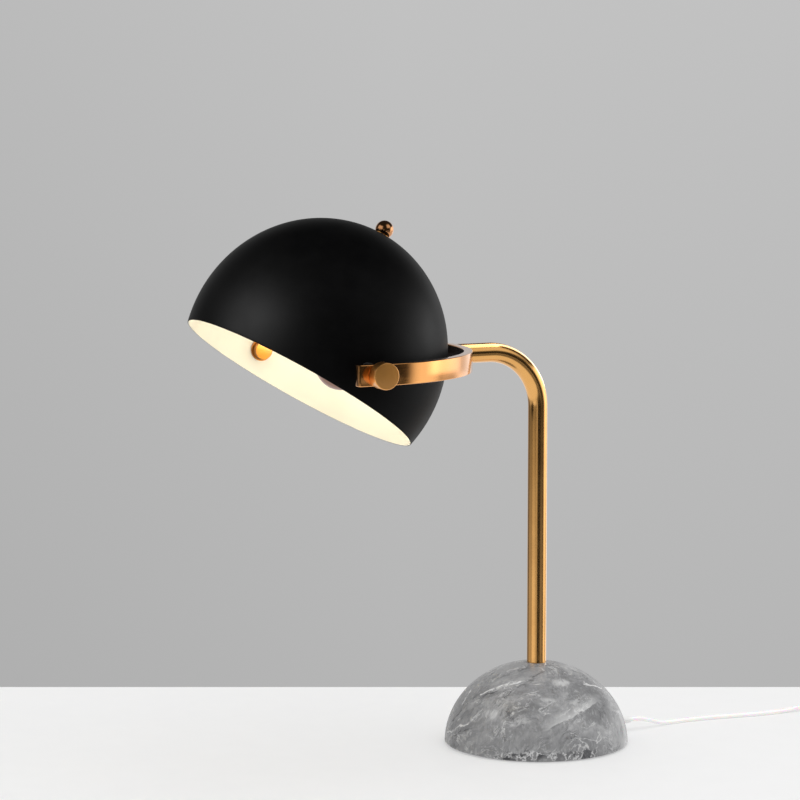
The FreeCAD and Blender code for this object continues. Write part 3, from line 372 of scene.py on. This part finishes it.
    # broken dark band low on the front
    tear = s.vmath("ADD", p, s.vmath("SCALE", s.noise(p, 120.0, 5.0, 0.7)[1], scale=0.016))
    jag = s.math("MULTIPLY", s.noise(p, 95.0, 4.0, 0.65)[0], 0.022)
    low = s.remap(s.math("ADD", z, jag), 0.0185, 0.0205, 1.0, 0.0)
    front = s.math("MULTIPLY", s.remap(s.vmath("DOT_PRODUCT", p, (-0.434, -0.894, 0.0)), 0.055, 0.066), s.remap(s.noise(p, 44.0, 2.0, 0.5)[0], 0.42, 0.50))
    chips = s.voronoi(tear, 105.0, "DISTANCE_TO_EDGE")[0]
    shard = s.xyz(s.voronoi(tear, 105.0, "F1")[1])[0]
    grit = s.remap(s.noise(p, 420.0, 5.0, 0.7)[0], 0.40, 0.62)
    tone = s.ramp(shard, [(0.0, (0.030, 0.030, 0.033)), (0.45, (0.075, 0.075, 0.08)), (0.8, (0.16, 0.16, 0.165)), (1.0, (0.30, 0.30, 0.30))])
    tone = s.mix(s.math("MULTIPLY", grit, 0.45), tone, (0.20, 0.20, 0.205))
    broken = s.mix(s.math("MULTIPLY", s.remap(chips, 0.01, 0.09, 0.95, 0.0), s.remap(s.noise(p, 210.0, 3.0, 0.6)[0], 0.36, 0.54)), tone, (0.62, 0.62, 0.62))
    body = s.mix(s.math("MULTIPLY", s.math("MULTIPLY", low, front), 0.95), body, broken)
    s.set(Base_Color=body, Roughness=s.remap(cloud, 0.3, 0.7, 0.22, 0.32), Normal=s.bump(hatch, 0.03, 0.0001))
    s.bsdf.inputs["Specular IOR Level"].default_value = 0.45
    return s.mat


def plain(name, a, b, rough, scale=300.0, metal=0.0, bump=0.05, distance=0.0001, **sockets):
    s = Shader(name)
    p = s.coords()
    n = s.noise(p, scale, 3.0, 0.55)[0]
    s.set(Base_Color=s.mix(s.remap(n, 0.3, 0.7), a, b), Roughness=s.remap(n, 0.3, 0.7, rough - 0.03, rough + 0.03),
          Metallic=metal, Normal=s.bump(n, bump, distance))
    for k, v in sockets.items():
        s.bsdf.inputs[k.replace("_", " ")].default_value = v
    return s.mat


def felt():
    s = Shader("felt")
    p = s.coords()
    n = s.noise(p, 900.0, 5.0, 0.7)[0]
    s.set(Base_Color=s.mix(n, (0.03, 0.03, 0.032), (0.09, 0.09, 0.092)), Roughness=0.95, Normal=s.bump(n, 0.6, 0.0005))
    s.bsdf.inputs["Sheen Weight"].default_value = 0.3
    return s.mat


M_TUBE = brass("brushed_brass_tube", (0.84, 0.44, 0.125), (0.76, 0.38, 0.10), 0.17, "attr", 0.6)
M_BAND = brass("brushed_brass_band", (0.80, 0.355, 0.095), (0.72, 0.31, 0.08), 0.15, "attr", 0.6)
# painted shade: a dark, dull copy of the band's brass for the band's inner face, where it lies in shade facing the dome
M_BAND_INSIDE_PAINTED_SHADE = brass("band_inside_painted_shade", (0.055, 0.026, 0.012), (0.04, 0.019, 0.009), 0.40, "attr", 0.6)
M_BAND_INSIDE_PAINTED_SHADE.node_tree.nodes["Principled BSDF"].inputs["Coat Weight"].default_value = 0.1
M_KNOB = brass("brushed_brass_knob", (0.95, 0.46, 0.12), (0.88, 0.41, 0.105), 0.46, "attr", 0.7)
M_NUT = brass("satin_brass_nut", (0.56, 0.24, 0.04), (0.50, 0.21, 0.035), 0.34, None, 0.6)
M_BALL = brass("polished_brass", (0.60, 0.27, 0.10), (0.50, 0.22, 0.08), 0.12, None, 0.3)
M_FIT = brass("satin_brass", (0.80, 0.38, 0.085), (0.74, 0.34, 0.07), 0.30, None, 0.6)
M_BLACK = paint_black()
M_CREAM = paint_cream()
M_MARBLE = marble()
M_FELT = felt()
M_ZINC = plain("zinc_plate", (0.50, 0.50, 0.52), (0.62, 0.62, 0.63), 0.32, 240.0, 1.0)
M_PHENOLIC = plain("black_moulding", (0.014, 0.014, 0.015), (0.022, 0.022, 0.023), 0.30, 500.0)
M_FIBRE = plain("black_fibre", (0.012, 0.012, 0.012), (0.03, 0.03, 0.03), 0.75, 900.0, 0.0, 0.3)
M_CERAMIC = plain("unglazed_ceramic", (0.70, 0.67, 0.61), (0.78, 0.75, 0.70), 0.6, 600.0, 0.0, 0.15)
M_CONTACT = plain("contact_brass", (0.74, 0.52, 0.24), (0.80, 0.58, 0.30), 0.22, 300.0, 1.0)
M_ALU = plain("bulb_cap_metal", (0.66, 0.66, 0.68), (0.75, 0.75, 0.77), 0.24, 260.0, 1.0)
M_NATURAL = plain("natural_moulding", (0.68, 0.68, 0.65), (0.74, 0.74, 0.71), 0.45, 300.0)
M_CORD = plain("clear_white_jacket", (0.90, 0.90, 0.895), (0.93, 0.93, 0.925), 0.24, 160.0, 0.0, 0.02)
M_CORD.node_tree.nodes["Principled BSDF"].inputs["Subsurface Weight"].default_value = 0.6
M_CORD.node_tree.nodes["Principled BSDF"].inputs["Subsurface Scale"].default_value = 0.004
M_CORD.node_tree.nodes["Principled BSDF"].inputs["Coat Weight"].default_value = 0.4
M_GLAND = plain("clear_white_sleeve", (0.76, 0.76, 0.75), (0.82, 0.82, 0.81), 0.34, 200.0)
M_WHITE = plain("white_moulding", (0.80, 0.80, 0.79), (0.83, 0.83, 0.82), 0.33, 900.0, 0.0, 0.08, 0.00005)
M_ROCKER = plain("white_rocker", (0.83, 0.83, 0.82), (0.86, 0.86, 0.85), 0.26, 700.0)
M_PIN = plain("bright_pin", (0.72, 0.62, 0.42), (0.78, 0.68, 0.48), 0.18, 200.0, 1.0)
cord.data.materials.append(M_CORD)


# ------------------------------------------------------------------ mesh helpers
def finish_mesh(name, bm, mats, matrix, smooth=40.0):
    """Closes a bmesh into an object in the row frame, in metres."""
    bmesh.ops.recalc_face_normals(bm, faces=bm.faces)
    mesh = bpy.data.meshes.new(name)
    bm.transform(Matrix.Scale(MM, 4) @ matrix)
    bm.to_mesh(mesh)
    bm.free()
    for m in mats:
        mesh.materials.append(m)
    obj = put(bpy.data.objects.new(name, mesh))
    mesh.polygons.foreach_set("use_smooth", [True] * len(mesh.polygons))
    mesh.set_sharp_from_angle(angle=math.radians(smooth))
    return obj


def lathe(name, profile, mats, matrix, segments=160, tags=None, smooth=40.0, closed=True):
    """Turns (radius, height) points about Z. A point at radius 0 becomes a pole."""
    bm = bmesh.new()
    lie = bm.verts.layers.float_vector.new("lie")
    rows = []
    run = 0.0
    for i, (r, z) in enumerate(profile):
        if i:
            run += math.hypot(r - profile[i - 1][0], z - profile[i - 1][1])
        if r < 1e-6:
            v = bm.verts.new((0, 0, z))
            v[lie] = (0.0, run * MM, 0.0)
            rows.append([v])
            continue
        row = []
        for k in range(segments):
            a = 2 * math.pi * k / segments
            v = bm.verts.new((r * math.cos(a), r * math.sin(a), z))
            v[lie] = (a * r * MM, run * MM, 0.0)
            row.append(v)
        rows.append(row)
    pairs = list(zip(range(len(rows) - 1), range(1, len(rows))))
    if closed and len(rows[0]) > 1:
        pairs.append((len(rows) - 1, 0))
    for n, (i, j) in enumerate(pairs):
        a, b = rows[i], rows[j]
        for k in range(segments):
            q = (k + 1) % segments
            if len(a) == 1 and len(b) == 1:
                continue
            if len(a) == 1:
                f = bm.faces.new((a[0], b[k], b[q]))
            elif len(b) == 1:
                f = bm.faces.new((a[k], b[0], a[q]))
            else:
                f = bm.faces.new((a[k], b[k], b[q], a[q]))
            f.material_index = tags[i] if tags else 0
    return finish_mesh(name, bm, mats, matrix, smooth)


def corner(points, radius, steps=4):
    """A closed polygon of (x, y) points with every corner rounded."""
    out = []
    n = len(points)
    for i in range(n):
        p, a, b = Vector(points[i]), Vector(points[i - 1]), Vector(points[(i + 1) % n])
        r = radius[i] if isinstance(radius, (list, tuple)) else radius
        if r <= 0:
            out.append(tuple(p))
            continue
        da, db = (a - p).normalized(), (b - p).normalized()
        half = math.acos(max(-1.0, min(1.0, da.dot(db)))) / 2
        reach = r / math.tan(half)
        centre = p + (da + db).normalized() * (r / math.sin(half))
        s, e = p + da * reach, p + db * reach
        a0 = math.atan2(s.y - centre.y, s.x - centre.x)
        a1 = math.atan2(e.y - centre.y, e.x - centre.x)
        d = (a1 - a0 + math.pi) % (2 * math.pi) - math.pi
        out += [(centre.x + r * math.cos(a0 + d * k / steps), centre.y + r * math.sin(a0 + d * k / steps)) for k in range(steps + 1)]
    return out


ALONG_Y = Matrix.Rotation(math.radians(-90), 4, "X")  # the lathe's Z becomes +Y


def dome_point(t, inset):
    """Point of the dome's profile; t is the angle above its widest section."""
    return ((SEMI - inset) * math.cos(t), LIFT + (CROWN - inset) * math.sin(t))


# ------------------------------------------------------------------ shade
def dome_arc(inset, low, count):
    t0 = math.asin((low - LIFT) / (CROWN - inset))
    t1 = math.acos(3.2 / (SEMI - inset))
    return [dome_point(t0 + (t1 - t0) * k / (count - 1), inset) for k in range(count)]


outer = dome_arc(0.0, -RIM + 0.25, 110)
inner = dome_arc(SHEET, -RIM + 0.25, 110)[::-1]
ro, ri = outer[0][0], inner[-1][0]
lip = [(ri + 0.12, -RIM + 0.06), (ri + 0.3, -RIM), (ro - 0.3, -RIM), (ro - 0.12, -RIM + 0.06)]
profile = outer + inner + lip
tags = [0] * (len(outer) - 1) + [0] + [1] * len(inner) + [0] * len(lip)
shade = lathe("shade_dome", profile, [M_BLACK, M_CREAM], AT_SHADE, 256, tags[:len(profile)])
drill = lathe("drill", [(0.0, -150.0), (4.25, -150.0), (4.25, 150.0), (0.0, 150.0)], [M_BLACK], AT_PIVOT @ ALONG_Y, 48)
cut = shade.modifiers.new("pivot_holes", "BOOLEAN")
cut.operation, cut.solver, cut.object = "DIFFERENCE", "EXACT", drill
made = bpy.data.meshes.new_from_object(shade.evaluated_get(bpy.context.evaluated_depsgraph_get()))
shade.modifiers.clear()
shade.data = made
bpy.data.objects.remove(drill)
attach(shade, "shade")
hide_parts("shade_shell")

# finial: a ball on a thin seat
seat = CROWN + LIFT + 1.1
t_low = math.asin((127.0 - seat) / 7.8)
ball = [(7.8 * math.cos(t), 127.0 + 7.8 * math.sin(t)) for t in (-t_low + (math.pi / 2 + t_low) * k / 40 for k in range(41))]
ball[-1] = (0.0, 134.8)
finial = lathe("finial", ball + [(0.0, seat)], [M_BALL], AT_SHADE, 128, smooth=50)
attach(finial, "shade")
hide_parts("finial_ball")


# ------------------------------------------------------------------ globe bulb
def bulb_material():
    s = Shader("warm_lit_glass")
    p = s.coords()
    n = s.noise(p, 120.0, 2.0, 0.5)[0]
    s.set(Base_Color=s.mix(s.remap(n, 0.3, 0.7), (0.9, 0.84, 0.7), (0.95, 0.9, 0.78)), Roughness=0.25)
    s.bsdf.inputs["Emission Color"].default_value = (1.0, 0.86, 0.60, 1.0)
    s.bsdf.inputs["Emission Strength"].default_value = 17.0
    return s.mat


def mirror_material():
    s = Shader("rose_mirrored_crown")
    p = s.coords()
    n = s.noise(p, 70.0, 3.0, 0.5)[0]
    s.set(Base_Color=s.mix(s.remap(n, 0.3, 0.7), (0.26, 0.15, 0.115), (0.34, 0.21, 0.165)), Metallic=1.0, Roughness=s.remap(n, 0.3, 0.7, 0.10, 0.16))
    return s.mat


M_LIT, M_MIRROR = bulb_material(), mirror_material()
globe = [(0.0, BULB_Z - BULB_R)]
for k in range(1, 49):
    a = -math.pi / 2 + (math.asin(16.0 / BULB_R) + math.pi / 2) * k / 48
    globe.append((BULB_R * math.cos(a), BULB_Z + BULB_R * math.sin(a)))
for k in range(1, 17):  # neck eases from the globe into the cap
    u = k / 16
    z0, z1, r0, r1 = globe[48][1], 40.0, globe[48][0], 6.9
    h00, h10, h01, h11 = 2 * u ** 3 - 3 * u ** 2 + 1, u ** 3 - 2 * u ** 2 + u, -2 * u ** 3 + 3 * u ** 2, u ** 3 - u ** 2
    globe.append((h00 * r0 + h10 * -16.0 + h01 * r1 + h11 * -1.0, z0 + (z1 - z0) * u))
globe += [(6.2, 40.0), (0.0, 40.0)]
split = next(i for i, q in enumerate(globe) if q[1] > BULB_Z + 2.0)
bulb = lathe("globe_bulb", globe, [M_MIRROR, M_LIT], AT_BULB, 96, [0 if i < split else 1 for i in range(len(globe))], closed=False)
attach(bulb, "shade")
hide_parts("bulb_glass")

# ------------------------------------------------------------------ yoke band
half_sweep = math.radians(98.0)
mid_r = RING_OUT - RING_DEEP / 2
section = corner([(-RING_DEEP / 2, -RING_TALL / 2), (RING_DEEP / 2, -RING_TALL / 2), (RING_DEEP / 2, RING_TALL / 2), (-RING_DEEP / 2, RING_TALL / 2)], 0.75, 4)
bm = bmesh.new()
lie = bm.verts.layers.float_vector.new("lie")
rows = []
ease = 0.6
stations = [(-half_sweep, 0.6), (-half_sweep + 0.0013, 0.22), (-half_sweep + ease / mid_r, 0.0)]
count = 220
span0, span1 = -half_sweep + ease / mid_r, half_sweep - ease / mid_r
stations += [(span0 + (span1 - span0) * k / count, 0.0) for k in range(1, count)]
stations += [(half_sweep - ease / mid_r, 0.0), (half_sweep - 0.0013, 0.22), (half_sweep, 0.6)]
for a, inset in stations:
    row = []
    run = 0.0
    for i, (dx, dz) in enumerate(section):
        if i:
            run += math.hypot(dx - section[i - 1][0], dz - section[i - 1][1])
        sx = dx * (1 - inset / (RING_DEEP / 2))
        sz = dz * (1 - inset / (RING_TALL / 2))
        r = mid_r + sx
        past = max(0.0, abs(a) - math.pi / 2) * mid_r * 1.05
        turn = max(-math.pi / 2, min(math.pi / 2, a))
        v = bm.verts.new((r * math.cos(turn) - past, r * math.sin(turn), sz))
        v[lie] = (a * mid_r * MM, run * MM, 0.0)
        row.append(v)
    rows.append(row)
for a, b in zip(rows, rows[1:]):
    for k in range(len(a)):
        q = (k + 1) % len(a)
        f = bm.faces.new((a[k], b[k], b[q], a[q]))
        # the inner face takes slot 1, the band's painted-shade copy
        f.material_index = 1 if section[k][0] < 0.001 - RING_DEEP / 2 and section[q][0] < 0.001 - RING_DEEP / 2 else 0
bm.faces.new(rows[0])
bm.faces.new(rows[-1][::-1])
band = finish_mesh("yoke", bm, [M_BAND, M_BAND_INSIDE_PAINTED_SHADE], AT_PIVOT, 35)
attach(band, "stand")
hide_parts("yoke_band", "yoke_end_block_near", "yoke_end_block_far")

# ------------------------------------------------------------------ column
bm = bmesh.new()
lie = bm.verts.layers.float_vector.new("lie")
spine = [(Vector((0, 0, 53.0 + (ARM - BEND - 53.0) * k / 60)), 0.0) for k in range(61)]
spine += [(Vector((-BEND + BEND * math.cos(t), 0, ARM - BEND + BEND * math.sin(t))), t) for t in (math.pi / 2 * k / 48 for k in range(1, 49))]
end_x = PIVOT.x + RING_OUT - 0.35
spine += [(Vector((-BEND + (end_x + BEND) * k / 12, 0, ARM)), math.pi / 2) for k in range(1, 13)]
around = 112
rows, run, last = [], 0.0, None
for c, t in spine:
    if last is not None:
        run += (c - last).length
    last = c
    out = Vector((math.cos(t), 0, math.sin(t)))
    row = []
    for k in range(around):
        a = 2 * math.pi * k / around
        v = bm.verts.new(c + out * (TUBE * math.cos(a)) + Vector((0, TUBE * math.sin(a), 0)))
        v[lie] = (run * MM, math.cos(a) * TUBE * MM, math.sin(a) * TUBE * MM)
        row.append(v)
    rows.append(row)
for a, b in zip(rows, rows[1:]):
    for k in range(around):
        q = (k + 1) % around
        bm.faces.new((a[k], b[k], b[q], a[q]))
bm.faces.new(rows[0])
bm.faces.new(rows[-1][::-1])
column = finish_mesh("column", bm, [M_TUBE], Matrix.Identity(4), 50)
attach(column, "stand")
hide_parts("column_tube")

# ------------------------------------------------------------------ thumb knobs
for side, word in ((-1, "near"), (1, "far")):
    edge = corner([(0.0, 10.7), (10.9, 10.7), (10.9, 0.0), (4.05, 0.0), (4.05, 7.3), (0.0, 7.3)][::-1], [0, 0, 0.2, 0.5, 0.8, 0][::1], 5)
    body = [(r, 134.6 + z) for r, z in edge]
    face = Matrix.Identity(4) if side > 0 else Matrix.Rotation(math.pi, 4, "Z")
    knob = lathe("thumb_knob_" + word + "_turned", body, [M_KNOB], AT_PIVOT @ face @ ALONG_Y, 144, smooth=35, closed=False)
    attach(knob, word + "_knob")
    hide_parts("thumb_knob_" + word)

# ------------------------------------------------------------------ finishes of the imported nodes
dress("marble_base", M_MARBLE)
dress("felt_pad", M_FELT)
for n in ("recess_cover", "clamp_washer", "lock_nut", "terminal_screws", "switch_screws", "finial_nut", "holder_nut", "holder_bracket",
          "holder_nipple", "threaded_nipple"):
    dress(n, M_ZINC)
for n in ("inner_nut_near", "inner_nut_far", "inner_flange_near", "inner_flange_far"):
    dress(n, M_NUT)
for n in ("spacer_bush_near", "spacer_bush_far", "tube_insert", "crown_bush", "pivot_stud_near", "pivot_stud_far", "finial_stud", "finial_seat"):
    dress(n, M_FIT)
for n in ("friction_washer_near", "friction_washer_far"):
    dress(n, M_FIBRE)
for n in ("holder_cap", "holder_skirt"):
    dress(n, M_PHENOLIC)
dress("holder_contact_block", M_CERAMIC)
for n in ("holder_thread_shell", "holder_contact", "switch_contacts"):
    dress(n, M_CONTACT)
for n in ("bulb_cap", "bulb_contact"):
    dress(n, M_ALU)
for n in ("terminal_block", "cord_grip"):
    dress(n, M_NATURAL)
for n in ("inner_mains_cord", "inner_lead", "shade_lead"):
    dress(n, M_CORD)
dress("cord_gland", M_GLAND)
for n in ("switch_lower_shell", "switch_upper_shell", "plug_body"):
    dress(n, M_WHITE)
dress("switch_rocker", M_ROCKER)
dress("plug_pins", M_PIN)

# ------------------------------------------------------------------ floor and light
floor_mesh = bpy.data.meshes.new("floor")
fwd = Vector((-back.x, -back.y, 0)).normalized()
side = Vector((fwd.y, -fwd.x, 0))
far_edge, near_edge, half_wide = 0.230, -1.6, 1.7
floor_mesh.from_pydata([tuple(fwd * d + side * w) for d, w in ((near_edge, -half_wide), (near_edge, half_wide), (far_edge, half_wide), (far_edge, -half_wide))],
                       [], [(0, 1, 2, 3)])
floor = put(bpy.data.objects.new("floor", floor_mesh))
fs = Shader("pale_floor")
fn = fs.noise(fs.coords(), 40.0, 3.0, 0.5)[0]
fs.set(Base_Color=fs.mix(fn, (0.40, 0.40, 0.40), (0.42, 0.42, 0.42)), Roughness=0.55)
fs.bsdf.inputs["Emission Color"].default_value = (1.0, 1.0, 1.0, 1.0)
fs.bsdf.inputs["Emission Strength"].default_value = 0.40
floor_mesh.materials.append(fs.mat)
floor.visible_glossy = False  # the surround's low level stands for it in reflections

world = bpy.data.worlds.new("studio")
scene.world = world
world.use_nodes = True
wt = world.node_tree
wt.nodes.clear()


def wn(kind, **props):
    n = wt.nodes.new(kind)
    for k, v in props.items():
        setattr(n, k, v)
    return n




def wmath(op, a, b=None, clamp=False):
    n = wn("ShaderNodeMath", operation=op, use_clamp=clamp)
    for k, v in enumerate((a, b)):
        if isinstance(v, bpy.types.NodeSocket):
            wt.links.new(v, n.inputs[k])
        elif v is not None:
            n.inputs[k].default_value = v
    return n.outputs[0]


def wstep(v, a, b, up=True):
    n = wn("ShaderNodeMapRange", interpolation_type="SMOOTHSTEP")
    wt.links.new(v, n.inputs[0])
    for k, w in enumerate((a, b, 0.0 if up else 1.0, 1.0 if up else 0.0), start=1):
        n.inputs[k].default_value = w
    return n.outputs[0]


direction = wn("ShaderNodeTexCoord").outputs["Generated"]
sep = wn("ShaderNodeSeparateXYZ")
wt.links.new(direction, sep.inputs[0])
flat = wn("ShaderNodeCombineXYZ")
wt.links.new(sep.outputs[0], flat.inputs[0])
wt.links.new(sep.outputs[1], flat.inputs[1])
level = wn("ShaderNodeVectorMath", operation="NORMALIZE")
wt.links.new(flat.outputs[0], level.inputs[0])
rise = sep.outputs[2]


def panel(az, half, low, high, value, soft=7.0, fade=0.06):
    """A light panel: its azimuth in degrees from -Y towards +X, half its width, and its lowest and highest direction."""
    dot = wn("ShaderNodeVectorMath", operation="DOT_PRODUCT")
    wt.links.new(level.outputs[0], dot.inputs[0])
    dot.inputs[1].default_value = (math.sin(math.radians(az)), -math.cos(math.radians(az)), 0.0)
    across = wstep(dot.outputs["Value"], math.cos(math.radians(half + soft)), math.cos(math.radians(max(0.0, half - soft))))
    tall = wmath("MULTIPLY", wstep(rise, low - fade, low + fade), wstep(rise, high - fade, high + fade, False))
    return wmath("MULTIPLY", wmath("MULTIPLY", across, tall), value)


PANELS = [
    (160, 34, -0.30, 0.42, 0.50, 14.0, 0.10),   # behind
    (-85, 30, 0.14, 0.72, 0.90, 16.0, 0.08),    # tall panel on the left
    (-112, 40, -0.15, 0.13, 0.13, 14.0, 0.03),  # dim level below it
    (-66, 21, -0.26, -0.145, 0.58, 7.0, 0.03),  # low light, left
    (-94, 46, -0.26, -0.145, 0.50, 14.0, 0.03),
    (-35, 6, -0.26, 0.06, 0.52, 5.0, 0.03),     # narrow strip
    (24, 13, -0.26, -0.150, 0.36, 9.0, 0.03),   # low light, right
    (64, 9, -0.30, 0.24, 1.25, 9.0, 0.05),      # tall strip on the right
    (87, 14, -0.14, 0.30, 1.85, 10.0, 0.03),
    (98, 20, -0.30, -0.145, 0.62, 10.0, 0.03),
    (119, 13, -0.30, 0.25, 0.85, 9.0, 0.06),
    (38, 24, 0.34, 0.84, 0.85, 14.0, 0.12),     # high softer light
    (28, 22, -0.50, -0.26, -0.70, 9.0, 0.05),   # dark gap low down
]
low_level = wmath("MULTIPLY", wstep(rise, -0.32, -0.23, False), 0.90)
total = wmath("ADD", wmath("ADD", panel(*PANELS[0]), low_level), 0.03)
for one in PANELS[1:]:
    total = wmath("ADD", total, panel(*one))
total = wmath("MAXIMUM", total, 0.0)
shine = wn("ShaderNodeBackground")
grey = wn("ShaderNodeCombineColor")
for k in range(3):
    wt.links.new(total, grey.inputs[k])
wt.links.new(grey.outputs[0], shine.inputs[0])
fill = wn("ShaderNodeBackground")
fill.inputs[0].default_value = (0.80, 0.80, 0.80, 1.0)
# the backdrop seen straight by the camera, with painted falloff of light: darker downward and to the left
wall = wn("ShaderNodeBackground")
side_dot = wn("ShaderNodeVectorMath", operation="DOT_PRODUCT")
wt.links.new(direction, side_dot.inputs[0])
side_dot.inputs[1].default_value = (0.89965, -0.43662, 0.0)
lift = wn("ShaderNodeMapRange")
wt.links.new(rise, lift.inputs[0])
for k, w in enumerate((-0.21, 0.03, 0.465, 0.538), start=1):
    lift.inputs[k].default_value = w
slide = wn("ShaderNodeMapRange")
wt.links.new(side_dot.outputs["Value"], slide.inputs[0])
for k, w in enumerate((-0.15, 0.0, 0.915, 1.0), start=1):
    slide.inputs[k].default_value = w
tone = wmath("MULTIPLY", lift.outputs[0], slide.outputs[0])
backdrop_falloff_colour = wn("ShaderNodeCombineColor")
for k in range(3):
    wt.links.new(tone, backdrop_falloff_colour.inputs[k])
wt.links.new(backdrop_falloff_colour.outputs[0], wall.inputs[0])
path = wn("ShaderNodeLightPath")
soft = wn("ShaderNodeMixShader")
wt.links.new(path.outputs["Is Diffuse Ray"], soft.inputs[0])
wt.links.new(shine.outputs[0], soft.inputs[1])
wt.links.new(fill.outputs[0], soft.inputs[2])
pick = wn("ShaderNodeMixShader")
wt.links.new(path.outputs["Is Camera Ray"], pick.inputs[0])
wt.links.new(soft.outputs[0], pick.inputs[1])
wt.links.new(wall.outputs[0], pick.inputs[2])
sky = wn("ShaderNodeOutputWorld")
wt.links.new(pick.outputs[0], sky.inputs[0])


def softbox(name, place, aim, wide, tall, power, colour=(1, 1, 1)):
    light = bpy.data.lights.new(name, "AREA")
    light.shape = "RECTANGLE"
    light.size, light.size_y, light.energy, light.color = wide, tall, power, colour
    obj = put(bpy.data.objects.new(name, light))
    obj.location = place
    obj.rotation_euler = (Vector(aim) - Vector(place)).to_track_quat("-Z", "Y").to_euler()
    return obj


above = softbox("key_above", (0.05, -0.35, 2.4), (0.0, 0.0, 0.0), 2.8, 2.8, 42.0)
above.visible_glossy = False


def only_for(light, *pieces, shadows=None):
    """Lets a light reach these pieces only, as flags do in a studio."""
    group = bpy.data.collections.new("lit_by_" + light.name)
    for piece in pieces:
        group.objects.link(piece)
    light.light_linking.receiver_collection = group
    light.light_linking.blocker_collection = group
    light.visible_diffuse = False
    light.visible_camera = False


CENTRE = Vector((-0.20, 0.0, 0.37))


def toward(az, el, far, at=CENTRE):
    a, e = math.radians(az), math.radians(el)
    return at + Vector((math.sin(a) * math.cos(e), -math.cos(a) * math.cos(e), math.sin(e))) * far


only_for(softbox("shade_left", toward(-85, 28, 1.6), CENTRE, 1.15, 0.80, 44.0), shade)
only_for(softbox("shade_right", toward(84, 7, 1.6), CENTRE, 0.50, 0.50, 7.0), shade)
BEND_AT = Vector((-0.03, 0.0, 0.35))
only_for(softbox("rim_strip", toward(118, 30, 1.7, BEND_AT), BEND_AT, 0.80, 1.90, 14.0), column)
only_for(softbox("arm_top", toward(88, 64, 1.6, BEND_AT), BEND_AT, 0.90, 0.55, 4.5), column)

scene.view_settings.view_transform = "Standard"
scene.view_settings.look = "None"
scene.cycles.use_denoising = True
